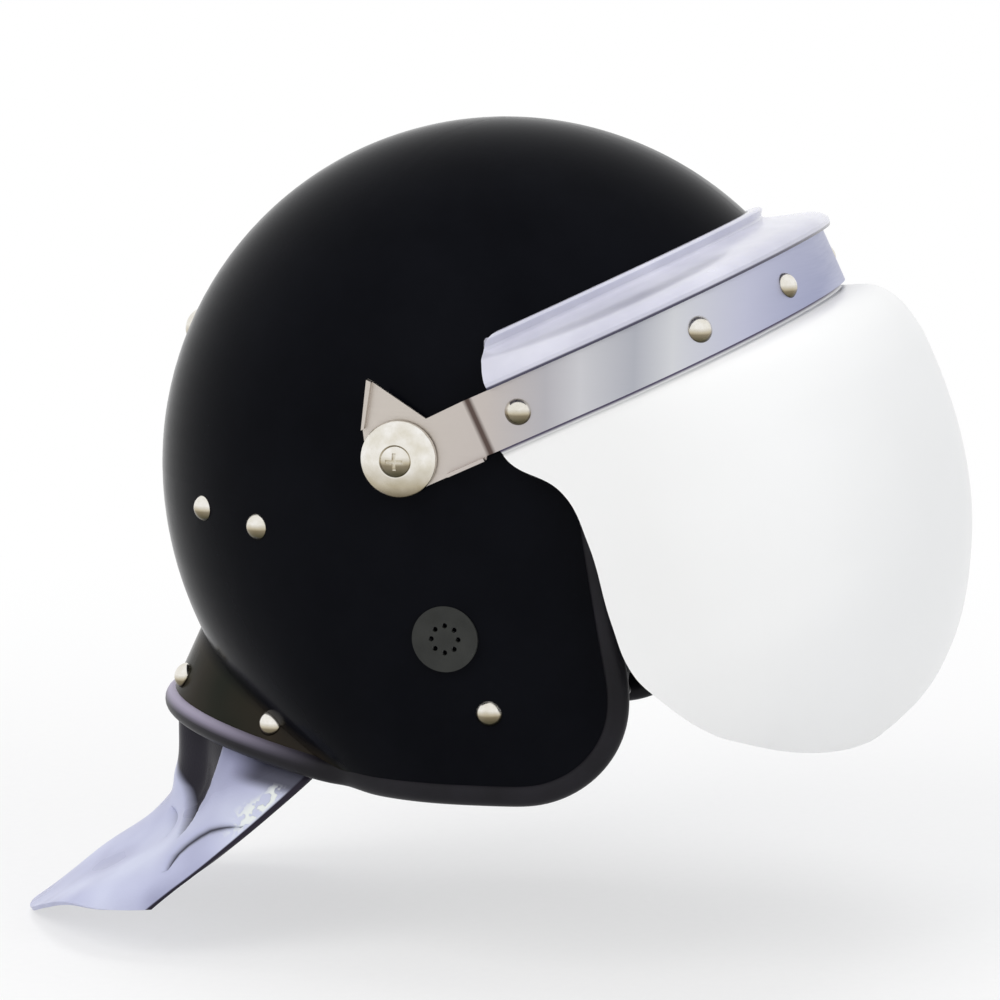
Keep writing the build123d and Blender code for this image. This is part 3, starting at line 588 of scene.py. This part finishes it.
def mixed(tree, share, below, above, how="MIX"):
    """One colour laid over another by a share."""
    if isinstance(above, tuple):
        above = (*above, 1)
    return link(tree, "MixRGB", {"Fac": share, "Color1": below, "Color2": above},
                blend_type=how).outputs[0]


def grain(tree, spot, scale, detail=3.0, roughness=0.5):
    """Noise at a scale per metre."""
    return link(tree, "TexNoise", {"Vector": spot, "Scale": scale, "Detail": detail,
                                   "Roughness": roughness}).outputs["Fac"]


def ramp(tree, value, *stops):
    """Colours at places along a value."""
    made = link(tree, "ValToRGB", {"Fac": value})
    elements = made.color_ramp.elements
    while len(elements) < len(stops):
        elements.new(0.5)
    for element, (place, colour) in zip(elements, stops):
        element.position = place
        element.color = (*colour, 1)
    return made.outputs["Color"]


def spread(tree, value, low, high, start_at=0.0, end_at=1.0):
    """Value carried from one range to another, held at its ends."""
    return link(tree, "MapRange", {"Value": value, "From Min": start_at, "From Max": end_at,
                                   "To Min": low, "To Max": high}).outputs[0]


def along(tree, spot, axis):
    """Distance of a spot along an axis."""
    return link(tree, "VectorMath", {0: spot, 1: tuple(axis)},
                operation="DOT_PRODUCT").outputs["Value"]


def leaned(tree, spot, axis):
    """Distance along an axis of the band's leaning frame."""
    return along(tree, spot, lean.to_3x3() @ axis)


# Camera, lamps, floor and world, in metres and degrees, with film and lens in millimetres

camera_turn = 12.4
camera_rise = 9.6
camera_away = 1.8
camera_right = 0.0141
camera_down = 0.0376
camera_film = 36.0
camera_lens = 147.3
lamp_target = Vector((0.02, 0, -0.05))
floor_radius = 9.0
floor_gap = 0.0005
floor_fade = (0.22, 1.0)
floor_paleness = 0.58
world_strength = 0.48


def aim(piece, target):
    """Turn a camera or lamp to look at a place."""
    away = piece.location - target
    piece.rotation_mode = "QUATERNION"
    piece.rotation_quaternion = away.to_track_quat("Z", "Y")


def make_camera():
    """Camera fitted to the photograph."""
    turn, rise = math.radians(camera_turn), math.radians(camera_rise)
    back = Vector((math.sin(turn) * math.cos(rise), -math.cos(turn) * math.cos(rise),
                   math.sin(rise)))
    right = Vector((math.cos(turn), math.sin(turn), 0))
    up = back.cross(right)
    lens = bpy.data.cameras.new("camera")
    lens.sensor_width = camera_film
    lens.lens = camera_lens
    camera = added("camera", lens)
    target = right * camera_right - up * camera_down
    camera.location = target + back * camera_away
    aim(camera, target)
    bpy.context.scene.camera = camera


def make_lamp(name, place, size, power, tint=(1.0, 1.0, 1.0)):
    """Rectangular lamp aimed at the helmet, not seen in its gloss."""
    light = bpy.data.lights.new(name, "AREA")
    light.shape = "RECTANGLE"
    light.size, light.size_y = size
    light.energy = power
    light.color = tint
    lamp = added(name, light)
    lamp.location = place
    lamp.visible_glossy = False
    aim(lamp, lamp_target)


def shown_rays(tree):
    """1 for the rays that see the white background, 0 for the rest."""
    path = link(tree, "LightPath").outputs
    first = math_of(tree, "MAXIMUM", path["Is Camera Ray"], path["Is Glossy Ray"])
    return math_of(tree, "MAXIMUM", first, path["Is Transmission Ray"])


def make_world():
    """Soft studio light, with a white background for the rays that see it."""
    world = bpy.data.worlds.new("studio")
    bpy.context.scene.world = world
    world.use_nodes = True
    tree = world.node_tree
    tree.nodes.clear()
    soft = link(tree, "Background", {"Color": (0.96, 0.97, 1.0, 1),
                                     "Strength": world_strength})
    white = link(tree, "Background", {"Color": (1, 1, 1, 1), "Strength": 1.0})
    whole = link(tree, "MixShader", {0: shown_rays(tree), 1: soft.outputs[0],
                                     2: white.outputs[0]})
    link(tree, "OutputWorld", {"Surface": whole.outputs[0]})


def make_floor(height):
    """White floor that takes a soft shadow near the helmet and fades into the background."""
    bm = bmesh.new()
    bmesh.ops.create_circle(bm, cap_ends=True, segments=96, radius=floor_radius)
    floor = new_mesh("floor", bm, Matrix.Translation((0, 0, height)), scale=1.0)
    finish = bpy.data.materials.new("floor")
    finish.use_nodes = True
    tree = finish.node_tree
    tree.nodes.clear()
    spot = link(tree, "TexCoord").outputs["Object"]
    far_out = link(tree, "VectorMath", {0: spot}, operation="LENGTH").outputs["Value"]
    near, beyond = floor_fade
    fade = link(tree, "MapRange", {"Value": far_out, "From Min": near, "From Max": beyond,
                                   "To Min": floor_paleness, "To Max": 1.0},
                interpolation_type="SMOOTHSTEP").outputs[0]
    seen = math_of(tree, "MULTIPLY", fade, shown_rays(tree))
    tone = ramp(tree, grain(tree, spot, 220.0), (0.0, (0.86, 0.86, 0.865)),
                (1.0, (0.92, 0.92, 0.92)))
    pale = link(tree, "BsdfDiffuse", {"Color": tone, "Roughness": 0.6})
    white = link(tree, "Emission", {"Color": (1, 1, 1, 1), "Strength": 1.0})
    whole = link(tree, "MixShader", {0: seen, 1: pale.outputs[0], 2: white.outputs[0]})
    link(tree, "OutputMaterial", {"Surface": whole.outputs[0]})
    floor.data.materials.append(finish)


# Finishes, in metres unless a value is brought to metres by MM

# Heights about the nape's crease, the band's bottom and the band's top between which the painted
# reflection below the crease, the painted shadow line under the band and the painted shadow line
# under the seal fade, and the half widths of the painted shade stripe in the joggle's step
nape_blend = (3.0, -4.0)
visor_line = (-1.6, -0.7)
seal_foot = (0.9, 1.5)
joggle_stripe = (0.7, 2.6)


def start(name, colour, roughness, **shader_values):
    """Material with a principled shader, its tree and its object coordinates."""
    made = bpy.data.materials.new(name)
    made.use_nodes = True
    tree = made.node_tree
    shader = tree.nodes["Principled BSDF"]
    shader.inputs["Base Color"].default_value = (*colour, 1)
    shader.inputs["Roughness"].default_value = roughness
    for key, value in shader_values.items():
        shader.inputs[key.replace("_", " ")].default_value = value
    spot = link(tree, "TexCoord").outputs["Object"]
    return made, tree, shader, spot


def painted_shade(tree, shader, share, colour):
    """Mix a painted dark shade over what the base colour has, by a share."""
    before = shader.inputs["Base Color"].links[0].from_socket
    feed(tree, shader, Base_Color=mixed(tree, share, before, colour))


def bumped(tree, shader, height, distance, strength=1.0):
    """Add a bump to what the shader's normal has."""
    made = link(tree, "Bump", {"Height": height, "Distance": distance, "Strength": strength})
    before = shader.inputs["Normal"].links
    if before:
        tree.links.new(before[0].from_socket, made.inputs["Normal"])
    tree.links.new(made.outputs[0], shader.inputs["Normal"])


def paint_finish():
    """Gloss black lacquer, with a painted brown-green reflection below the nape's crease."""
    made, tree, shader, spot = start("gloss_black_paint", (0.003, 0.0033, 0.005), 0.16,
                                     Specular_IOR_Level=0.03)
    cloud = grain(tree, spot, 22.0, 5.0, 0.6)
    crown = ramp(tree, cloud, (0.3, (0.0022, 0.0025, 0.004)), (0.8, (0.0042, 0.0046, 0.0068)))
    # The nape's brown-green tone is a painted reflection.
    nape = ramp(tree, grain(tree, spot, 17.0, 2.0), (0.3, (0.016, 0.019, 0.014)),
                (0.55, (0.036, 0.029, 0.021)), (0.75, (0.012, 0.012, 0.012)))
    tilt = math.radians(nape_angle)
    up = (math.sin(tilt), 0.0, math.cos(tilt))
    crease_height = Vector(up).dot(nape_start) * MM
    above, below = (crease_height + shift * MM for shift in nape_blend)
    flare = spread(tree, along(tree, spot, up), 0.0, 1.0, above, below)
    feed(tree, shader, Base_Color=mixed(tree, flare, crown, nape),
         Roughness=spread(tree, cloud, 0.12, 0.24, 0.3, 0.75))
    bumped(tree, shader, grain(tree, spot, 520.0, 2.0), 0.00002)
    return made


def rubber_finish():
    """Dull edging rubber, with a painted pale reflection where it faces up at the back."""
    made, tree, shader, spot = start("edge_rubber", (0.012, 0.011, 0.014), 0.36,
                                     Specular_IOR_Level=0.16)
    fine = grain(tree, spot, 900.0, 3.0)
    dark = ramp(tree, grain(tree, spot, 35.0), (0.3, (0.006, 0.0055, 0.007)),
                (0.75, (0.014, 0.013, 0.017)))
    sky = link(tree, "Attribute", attribute_name="sky").outputs["Fac"]
    feed(tree, shader, Base_Color=mixed(tree, sky, dark, (0.42, 0.38, 0.50)),
         Roughness=spread(tree, fine, 0.3, 0.44))
    bumped(tree, shader, fine, 0.00004)
    return made


def visor_finish():
    """Pale sheet, faintly clouded, with a thin painted shadow line under the band."""
    made, tree, shader, spot = start("pale_visor_sheet", (0.92, 0.92, 0.91), 0.3,
                                     Specular_IOR_Level=0.3)
    cloud = grain(tree, spot, 9.0, 2.0)
    tone = ramp(tree, cloud, (0.3, (0.905, 0.905, 0.892)), (0.7, (0.935, 0.935, 0.924)))
    feed(tree, shader, Base_Color=tone,
         Roughness=spread(tree, grain(tree, spot, 60.0, 4.0), 0.26, 0.38))
    rise = leaned(tree, spot, Vector((0, 0, 1)))
    low, high = ((band_bottom + shift) * MM for shift in visor_line)
    # Painted shadow line under the band's bottom edge.
    painted_shade(tree, shader, spread(tree, rise, 0.0, 1.0, low, high), (0.12, 0.10, 0.17))
    bumped(tree, shader, cloud, 0.0004)
    return made


def band_finish():
    """Brushed steel with painted reflections, warm at the arms and blue at the brow, and painted
    shade in the joggle's step.
    """
    made, tree, shader, spot = start("satin_band_steel", (0.55, 0.54, 0.57), 0.36,
                                     Metallic=1.0)
    parts = link(tree, "SeparateXYZ", {0: spot}).outputs
    # The lighter and darker tones along the band are painted reflections.
    warm = ramp(tree, spread(tree, parts["X"], 0.0, 1.0, 0.0, 0.18),
                (0.0, (0.60, 0.55, 0.50)), (0.2, (0.56, 0.51, 0.48)), (0.34, (0.47, 0.46, 0.49)),
                (0.42, (0.60, 0.60, 0.63)), (0.54, (0.44, 0.45, 0.50)), (0.62, (0.64, 0.65, 0.68)),
                (0.76, (0.52, 0.53, 0.66)), (0.89, (0.33, 0.35, 0.51)), (0.96, (0.56, 0.58, 0.74)))
    feed(tree, shader, Base_Color=warm)
    ahead = math_of(tree, "SUBTRACT", leaned(tree, spot, Vector((1, 0, 0))), band_joggle * MM)
    away = math_of(tree, "ABSOLUTE", ahead)
    full, none = (reach * MM for reach in joggle_stripe)
    # Painted shade in the joggle's step.
    painted_shade(tree, shader, spread(tree, away, 1.0, 0.0, full, none), (0.11, 0.08, 0.07))
    stretched = link(tree, "VectorMath", {0: spot, 1: (60.0, 60.0, 1500.0)},
                     operation="MULTIPLY").outputs[0]
    lines = grain(tree, stretched, 1.0)
    feed(tree, shader, Roughness=spread(tree, lines, 0.26, 0.46))
    bumped(tree, shader, lines, 0.00002)
    bumped(tree, shader, grain(tree, spot, 26.0, 2.0), 0.0006, 0.6)
    return made


def nickel_finish():
    """Polished plating, with painted shade where a rounded head turns down."""
    made, tree, shader, spot = start("polished_nickel", (0.72, 0.69, 0.62), 0.16, Metallic=1.0)
    cloud = grain(tree, spot, 160.0, 4.0)
    bright = ramp(tree, cloud, (0.25, (0.70, 0.66, 0.56)), (0.7, (0.88, 0.86, 0.82)))
    rise = link(tree, "Attribute", attribute_name="rise").outputs["Fac"]
    # Painted shade on the lower side, darker where the surface turns down.
    graded = ramp(tree, rise, (0.2, (0.12, 0.11, 0.07)), (0.4, (0.30, 0.26, 0.19)),
                (0.47, (0.62, 0.57, 0.46)), (0.62, (1.0, 1.0, 1.0)))
    feed(tree, shader, Base_Color=mixed(tree, 1.0, bright, graded, "MULTIPLY"),
         Roughness=spread(tree, grain(tree, spot, 900.0, 3.0), 0.12, 0.26))
    bumped(tree, shader, cloud, 0.00005)
    return made


def seal_finish():
    """Milky soft vinyl, with a painted shadow line at its foot on the band."""
    made, tree, shader, spot = start("milky_seal_vinyl", (0.62, 0.62, 0.72), 0.22,
                                     Subsurface_Weight=0.15, Coat_Weight=0.4,
                                     Coat_Roughness=0.1)
    shader.inputs["Subsurface Radius"].default_value = (0.004, 0.004, 0.005)
    cloud = grain(tree, spot, 30.0, 3.0)
    tone = ramp(tree, cloud, (0.3, (0.56, 0.56, 0.66)), (0.7, (0.70, 0.70, 0.79)))
    feed(tree, shader, Base_Color=tone, Roughness=spread(tree, cloud, 0.16, 0.32))
    rise = leaned(tree, spot, Vector((0, 0, 1)))
    low, high = ((band_top + shift) * MM for shift in seal_foot)
    # Painted shadow line under the seal's lip, at its foot.
    painted_shade(tree, shader, spread(tree, rise, 1.0, 0.0, low, high), (0.035, 0.03, 0.07))
    bumped(tree, shader, grain(tree, spot, 24.0, 2.0), 0.0008, 0.7)
    return made


def plastic_finish(name, colour, roughness):
    """Moulded plastic or rubber with a fine pebble."""
    made, tree, shader, spot = start(name, colour, roughness, Specular_IOR_Level=0.22)
    fine = link(tree, "TexVoronoi", {"Vector": spot, "Scale": 1300.0}).outputs["Distance"]
    light = tuple(min(1.0, c * 1.5 + 0.004) for c in colour)
    graded = spread(tree, grain(tree, spot, 300.0), roughness - 0.08, roughness + 0.1)
    feed(tree, shader, Roughness=graded,
         Base_Color=ramp(tree, grain(tree, spot, 90.0), (0.3, colour), (0.8, light)))
    bumped(tree, shader, fine, 0.00006)
    return made


def foam_finish():
    """Liner foam of small beads."""
    made, tree, shader, spot = start("liner_foam", (0.05, 0.05, 0.052), 0.85)
    beads = link(tree, "TexVoronoi", {"Vector": spot, "Scale": 330.0}).outputs["Distance"]
    tone = ramp(tree, beads, (0.1, (0.055, 0.055, 0.058)), (0.7, (0.022, 0.022, 0.024)))
    feed(tree, shader, Base_Color=tone)
    bumped(tree, shader, math_of(tree, "MULTIPLY", beads, -1.0), 0.0005)
    return made


def cloth_finish():
    """Woven pad cloth, a little rumpled."""
    made, tree, shader, spot = start("pad_cloth", (0.02, 0.02, 0.022), 0.9,
                                     Sheen_Weight=0.35, Sheen_Roughness=0.4)
    across = link(tree, "TexWave", {"Vector": spot, "Scale": 260.0, "Distortion": 1.5},
                  bands_direction="X").outputs["Fac"]
    upright = link(tree, "TexWave", {"Vector": spot, "Scale": 260.0, "Distortion": 1.5},
                   bands_direction="Z").outputs["Fac"]
    weave = math_of(tree, "MULTIPLY", across, upright)
    tone = ramp(tree, weave, (0.0, (0.012, 0.012, 0.013)), (1.0, (0.034, 0.034, 0.037)))
    feed(tree, shader, Base_Color=tone)
    bumped(tree, shader, weave, 0.0003)
    bumped(tree, shader, grain(tree, spot, 60.0, 4.0), 0.0012, 0.5)
    return made


def webbing_finish():
    """Woven ribs and a stitched line near each edge, drawn in the strap's own map."""
    made, tree, shader, spot = start("strap_webbing", (0.016, 0.016, 0.018), 0.75,
                                     Sheen_Weight=0.25)
    across = link(tree, "UVMap").outputs["UV"]
    parts = link(tree, "SeparateXYZ", {0: across}).outputs
    rib = link(tree, "TexWave", {"Vector": across, "Scale": 150.0, "Distortion": 0.4},
               bands_direction="Y").outputs["Fac"]
    twill = link(tree, "TexWave", {"Vector": across, "Scale": 120.0, "Distortion": 0.6},
                 bands_direction="DIAGONAL").outputs["Fac"]
    weave = math_of(tree, "MULTIPLY", rib, twill)
    tone = ramp(tree, weave, (0.0, (0.010, 0.010, 0.011)), (0.9, (0.032, 0.032, 0.035)))
    feed(tree, shader, Base_Color=tone)
    bumped(tree, shader, weave, 0.0004)
    edge = math_of(tree, "ABSOLUTE", parts["X"])
    bumped(tree, shader, spread(tree, edge, 0.0, 1.0, 0.0075, 0.0095), 0.0005, 0.5)
    return made


def leather_finish():
    """Glossy coated leather, its pale lavender a painted reflection over black vinyl: grain,
    painted shade in the folds, a dark bound edge and painted glints by the stitching.
    """
    made, tree, shader, spot = start("coated_leather", (0.55, 0.57, 0.75), 0.3,
                                     Specular_IOR_Level=0.08)
    cloud = grain(tree, spot, 26.0, 1.5, 0.5)
    # The pale lavender tones stand in for a bright painted reflection on black vinyl.
    shade = ramp(tree, cloud, (0.28, (0.36, 0.37, 0.54)), (0.5, (0.56, 0.58, 0.77)),
                 (0.72, (0.68, 0.71, 0.88)))
    fold = link(tree, "Attribute", attribute_name="fold").outputs["Fac"]
    # Painted shade in the pleat, the creases and under the edging.
    folded = mixed(tree, fold, shade, (0.020, 0.018, 0.026))
    # Painted glints of light along the stitching.
    glint = link(tree, "Attribute", attribute_name="glint").outputs["Fac"]
    specks = grain(tree, spot, 300.0, 1.0)
    lit = math_of(tree, "MULTIPLY", spread(tree, specks, 0.0, 1.0, 0.44, 0.52), glint)
    bright = mixed(tree, lit, folded, (0.93, 0.97, 0.94))
    parts = link(tree, "SeparateXYZ", {0: link(tree, "UVMap").outputs["UV"]}).outputs
    bind = spread(tree, parts["X"], 1.0, 0.0, 0.0016, 0.0024)
    feed(tree, shader, Base_Color=mixed(tree, bind, bright, (0.026, 0.022, 0.034)),
         Roughness=spread(tree, cloud, 0.22, 0.4, 0.3, 0.7))
    pebbles = link(tree, "TexVoronoi", {"Vector": spot, "Scale": 900.0}).outputs["Distance"]
    bumped(tree, shader, pebbles, 0.00004)
    bumped(tree, shader, grain(tree, spot, 45.0, 1.0), 0.0004, 0.5)
    bumped(tree, shader, lit, 0.0003)
    return made


# Neck guard, a sheet of coated leather with hanging folds. The tables run down from
# the nape to the hem at guard_rows, and near is the share of the width to a side edge.

guard_rows = (0.0, 0.14, 0.36, 0.58, 0.79, 1.0)
guard_edge_ahead = (-46.3, -47.0, -70.0, -92.0, -108.0, -121.0)
guard_edge_height = (-137.6, -143.3, -165.0, -184.0, -197.0, -209.0)
guard_back = (-121.0, -127.2, -127.6, -141.0, -170.0, -202.0)
guard_back_height = (-109.3, -131.2, -163.0, -187.0, -209.0, -230.0)
guard_half_width = (78.6, 81.4, 87.0, 91.0, 91.0, 90.0)
guard_round = (93.0, 92.0, 60.0, 40.0, 25.0, 15.0)
guard_fold = (0.0, 0.0, 2.5, 5.0, 5.0, 2.5)
guard_lift = (0.0, 0.0, 0.0, 1.0, 3.0, 3.0)
guard_bends = 5
guard_thickness = 2.0
guard_width = 200.0
guard_drop = 122.0
guard_columns = 210
guard_lines = 130

# The pleat each side of the nape, sunk in and darkened by painted shade, between a near and a far
# line
pleat_rows = (0.0, 0.3, 0.4, 0.45, 0.49, 0.53, 1.0)
pleat_far = (0.6, 0.56, 0.385, 0.335, 0.255, 0.16, -1.5)
pleat_near = (0.2, 0.2, 0.19, 0.17, 0.16, 0.155, 0.155)
pleat_depth = 5.0
back_swell = 4.0

# How far the hem rises, by the share to a side edge
hem_nears = (0.0, 0.09, 0.18, 0.3, 0.416, 0.5)
hem_lifts = (1.0, 4.5, 7.8, 4.0, -0.8, -0.8)

# Two sharp creases a side, each a line of shares across and down, sunk in and darkened by painted
# shade as strong as its tone
crease_depth = 2.6
creases = (((0.025, 0.42), (0.06, 0.44), (0.09, 0.48), (0.10, 0.58), (0.07, 0.68)),
           ((0.385, 0.51), (0.33, 0.545), (0.25, 0.59)))
crease_widths = (2.4, 1.8)
crease_tones = (0.97, 0.35)
crease_steps = 9
crease_tip = 0.06
crease_spread = 1.6

# Where the pleat, swell, hem, painted shadow in the corner under the edging and painted glints by
# the stitching fade in and out
pleat_fades = ((0.08, 0.2), (0.40, 0.30))
pleat_borders = (-0.006, 0.014, 0.12)
pleat_softens = (0.28, 0.45)
swell_near = (0.3, 0.42)
swell_downs = ((0.06, 0.2), (0.5, 0.36))
hem_starts = (0.7, 1.0)
lift_fullness = 1.6
corner_fades = ((0.285, 0.24), (0.16, 0.08))
corner_tone = 0.85
glint_downs = ((0.24, 0.27), (0.5, 0.36))
glint_nears = (0.066, 0.034)
glint_sway = 0.014
glint_waves = 40
glint_border = (0.010, 0.018)


def pleat(near, down):
    """How far into the pleat a place is: 1 between two lines that meet in a point."""
    inside = min(near - line_value(pleat_rows, pleat_near, down),
                 line_value(pleat_rows, pleat_far, down) - near)
    outer, inner, softer = pleat_borders
    return eased_step(outer, inner + softer * eased_step(*pleat_softens, near), inside)


def crease_run(line):
    """Smooth run of places through a crease's few points."""
    steps = range(len(line))
    return [Vector((curve_value(steps, [near for near, down in line], at) * guard_width,
                    curve_value(steps, [down for near, down in line], at) * guard_drop))
            for at in (steps[-1] * step / crease_steps for step in range(crease_steps + 1))]


crease_runs = [crease_run(line) for line in creases]


def crease(near, down, line, width):
    """How near a place is to a crease line that tapers at both ends."""
    spot = Vector((near * guard_width, down * guard_drop))
    best = 0.0
    for index, (start_at, end_at) in enumerate(zip(line, line[1:])):
        run = end_at - start_at
        share = min(1.0, max(0.0, (spot - start_at).dot(run) / run.length_squared))
        away = (spot - start_at - run * share).length
        passed = (index + share) / (len(line) - 1)
        reach = width * math.sin(math.pi * (crease_tip + (1 - 2 * crease_tip) * passed))
        best = max(best, math.exp(-(away / reach) ** 2))
    return best


def painted_fold_shade(across, down):
    """Painted shade in the leather's pleat and creases and under the edging at its upper side
    corners, from 0 to 1.
    """
    near = min(across, 1 - across)
    tones = [crease(near, down, line, width) * tone
             for line, width, tone in zip(crease_runs, crease_widths, crease_tones)]
    fade_down, fade_near = corner_fades
    corner = eased_step(*fade_down, down) * eased_step(*fade_near, near)
    return max(pleat(near, down), corner_tone * corner, *tones)


def glint_share(across, down):
    """Where painted glints lie along the stitching by the guard's upper side edges."""
    near = min(across, 1 - across)
    top, foot = glint_downs
    outer, inner = glint_nears
    return (eased_step(*top, down) * eased_step(*foot, down)
            * eased_step(outer + glint_sway * math.sin(glint_waves * down), inner, near)
            * eased_step(*glint_border, near))


def guard_spot(across, down):
    """Place on the middle of the leather, from shares of its width and drop."""
    ahead, height, back, low, wide, round_off, fold, lift = (
        curve_value(guard_rows, table, down) for table in
        (guard_edge_ahead, guard_edge_height, guard_back, guard_back_height, guard_half_width,
         guard_round, guard_fold, guard_lift))
    near = min(across, 1 - across)
    edge = Vector((ahead, 0, height))
    run = Vector((back, 0, low)) - edge
    reach = round_off + run.length
    end = math.acos(round_off / reach)
    wide = wide / math.sin(end) - guard_thickness / 2
    turn = end * (2 * across - 1)
    shift = fold * math.sin(math.pi * across * guard_bends) - guard_thickness / 2
    fade_down, fade_near = pleat_fades
    shift -= (pleat_depth * pleat(near, down) * eased_step(*fade_down, down)
              * eased_step(*fade_near, near))
    top, foot = swell_downs
    shift += (back_swell * eased_step(*swell_near, near) * eased_step(*top, down)
              * eased_step(*foot, down))
    shift -= crease_depth * max(crease(near, down, line, width * crease_spread)
                                for line, width in zip(crease_runs, crease_widths))
    run.normalize()
    hem = eased_step(*hem_starts, down)
    lift = ((1 - hem) * lift * min(1.0, lift_fullness * math.sin(math.pi * across))
            + hem * curve_value(hem_nears, hem_lifts, near))
    spot = edge - run * round_off + run * (reach + shift) * math.cos(turn)
    return spot + Vector((0, (wide + shift) * math.sin(turn), lift))


def make_guard():
    """The leather, with its map, its painted fold shade and glints, and the area it was cut to."""
    bm = bmesh.new()
    bmesh.ops.create_grid(bm, x_segments=guard_columns, y_segments=guard_lines, size=0.5,
                          calc_uvs=True)
    uv = bm.loops.layers.uv.verify()
    # Each corner keeps its painted fold shade and its painted glints.
    tone = bm.verts.layers.float.new("fold")
    shine = bm.verts.layers.float.new("glint")
    shares = {v: (v.co.x + 0.5, 0.5 - v.co.y) for v in bm.verts}
    for v, (across, down) in shares.items():
        v.co = guard_spot(across, down)
        v[tone] = painted_fold_shade(across, down)
        v[shine] = glint_share(across, down)
    for face in bm.faces:
        for loop in face.loops:
            across, down = shares[loop.vert]
            side = min(across, 1 - across) * guard_width
            loop[uv].uv = (side * MM, (1 - down) * guard_drop * MM)
    bmesh.ops.recalc_face_normals(bm, faces=bm.faces)
    guard = new_mesh("neck_guard_leather", bm)
    cut_area = sum(face.area for face in guard.data.polygons)
    wall = guard.modifiers.new("wall", "SOLIDIFY")
    wall.thickness = guard_thickness * MM
    wall.offset = 0.0
    settle(guard)
    return smooth(eased(guard, 0.6, 2, 60.0), 50.0), cut_area


# Pads

pad_voxel = 4.0
pad_pressure = 4.0
pad_frames = 14
pad_swell = 3.0


def stuffed(node):
    """Cushion grown from its CAD node: remeshed, then swelled by pressure up to a cap."""
    pad = new_mesh(node + "_cushion", node_mesh(node), scale=1.0)
    grid = pad.modifiers.new("grid", "REMESH")
    grid.mode = "VOXEL"
    grid.voxel_size = pad_voxel * MM
    settle(pad)
    rest = [v.co.copy() for v in pad.data.vertices]
    swell = pad.modifiers.new("swell", "CLOTH")
    swell.settings.use_pressure = True
    swell.settings.uniform_pressure_force = pad_pressure
    swell.settings.effector_weights.gravity = 0.0
    swell.point_cache.frame_start, swell.point_cache.frame_end = 1, pad_frames
    for step in range(1, pad_frames + 1):
        bpy.context.scene.frame_set(step)
    settle(pad)
    bpy.context.scene.frame_set(1)
    for v, at in zip(pad.data.vertices, rest):
        moved = v.co - at
        if moved.length > pad_swell * MM:
            v.co = at + moved.normalized() * pad_swell * MM
    return pad


# Chin strap

strap_anchor = Vector((35.0, 0.0, -108.0))
strap_lean = -66.0
strap_sag = 32.0


def strap_map(strap):
    """Map of a strap: across its width, and along it round the chin."""
    tilt = math.radians(strap_lean)
    wide = Vector((math.sin(tilt), 0.0, -math.cos(tilt)))
    fall = Vector((math.cos(tilt), 0.0, math.sin(tilt)))
    uv = strap.data.uv_layers.new(name="UVMap")
    for loop in strap.data.loops:
        spot = strap.data.vertices[loop.vertex_index].co / MM - strap_anchor
        side = math.copysign(strap_sag - spot.dot(fall), spot.y)
        uv.data[loop.index].uv = (spot.dot(wide) * MM, (spot.y + side) * MM)
    return strap


# Plated metal

def plated(node, body, width, segments, shaded=0.5):
    """Metal piece with its rise kept at each point, for the painted shade on its lower side."""
    piece = marked(fine_copy(node, width, segments, 40.0), "rise",
                   lambda spot, turn: 1.0 - shaded * (1.0 - turn.z))
    return settle_in(piece, body, nickel, "nickel", node)


# The scene and its pieces

make_camera()
make_world()
make_lamp("key", (-1.1, -2.3, 2.1), (1.8, 1.8), 35.0, (1.0, 0.98, 0.95))
make_lamp("fill", (2.3, -1.5, 0.9), (1.6, 1.6), 17.0, (0.95, 0.97, 1.0))
make_lamp("top", (0.1, 0.2, 2.7), (2.0, 1.6), 25.0)
make_lamp("rear", (-1.6, 1.8, 1.3), (1.4, 1.4), 12.0, (0.92, 0.95, 1.0))
make_floor(cad_low.z - floor_gap)

paint = paint_finish()
rubber = rubber_finish()
visor_sheet = visor_finish()
steel = band_finish()
nickel = nickel_finish()
vinyl = seal_finish()
foam = foam_finish()
cloth = cloth_finish()
webbing = webbing_finish()
leather = leather_finish()
vent_plastic = plastic_finish("vent_plastic", (0.021, 0.022, 0.020), 0.5)
buckle_plastic = plastic_finish("buckle_plastic", (0.012, 0.012, 0.013), 0.4)
cup_rubber = plastic_finish("cup_rubber", (0.02, 0.02, 0.021), 0.6)

for slot in nodes["shell"].material_slots:
    slot.material = paint
settle_in(smooth(make_visor(), 30.0), "face_shield", visor_sheet, "visor_clear", "visor")
settle_in(smooth(make_seal(), 30.0), "face_shield", vinyl, "seal_vinyl", "brow_seal")
guard, cut_area = make_guard()
settle_in(guard, "helmet", leather, "guard_leather", "neck_guard")
settle_in(make_trim(), "helmet", rubber, "edge_rubber", "edge_trim")
settle_in(fine_copy("visor_band", 0.3, 2, 12.0), "face_shield", steel, "band_steel", "visor_band")

for node in nodes:
    body = nodes[node]["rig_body"]
    if node.startswith(("band_rivet", "cheek_rivet", "side_rivet", "nape_rivet", "rear_stud")):
        plated(node, body, 0.25, 2)
    elif node.startswith(("pivot_cap", "pivot_screw")):
        # The pivot cap takes a lighter painted shade on its lower side than the screw.
        plated(node, body, 0.3, 3, 0.36 if node.startswith("pivot_cap") else 0.5)
    elif node.startswith(("pivot_collar", "pivot_washer", "pivot_nut")):
        plated(node, body, 0.2, 2)
    elif node.startswith("ear_vent"):
        settle_in(fine_copy(node, 0.4, 3), body, vent_plastic, "vent_plastic", node)
    elif node.startswith("buckle"):
        settle_in(fine_copy(node, 0.5, 3), body, buckle_plastic, "buckle_plastic", node)
    elif node == "chin_cup":
        settle_in(fine_copy(node, 0.8, 3), body, cup_rubber, "cup_rubber", node)
    elif node == "impact_liner":
        settle_in(fine_copy(node, 1.2, 3), body, foam, "liner_foam", node)
    elif node.endswith("pad") or "_pad_" in node:
        pad = settle_in(smooth(stuffed(node), 180.0), body, cloth, "pad_cloth", node)
    elif node.startswith("strap"):
        settle_in(strap_map(fine_copy(node, 0.4, 2)), body, webbing, "webbing", node)

bpy.context.scene.view_settings.view_transform = "Standard"
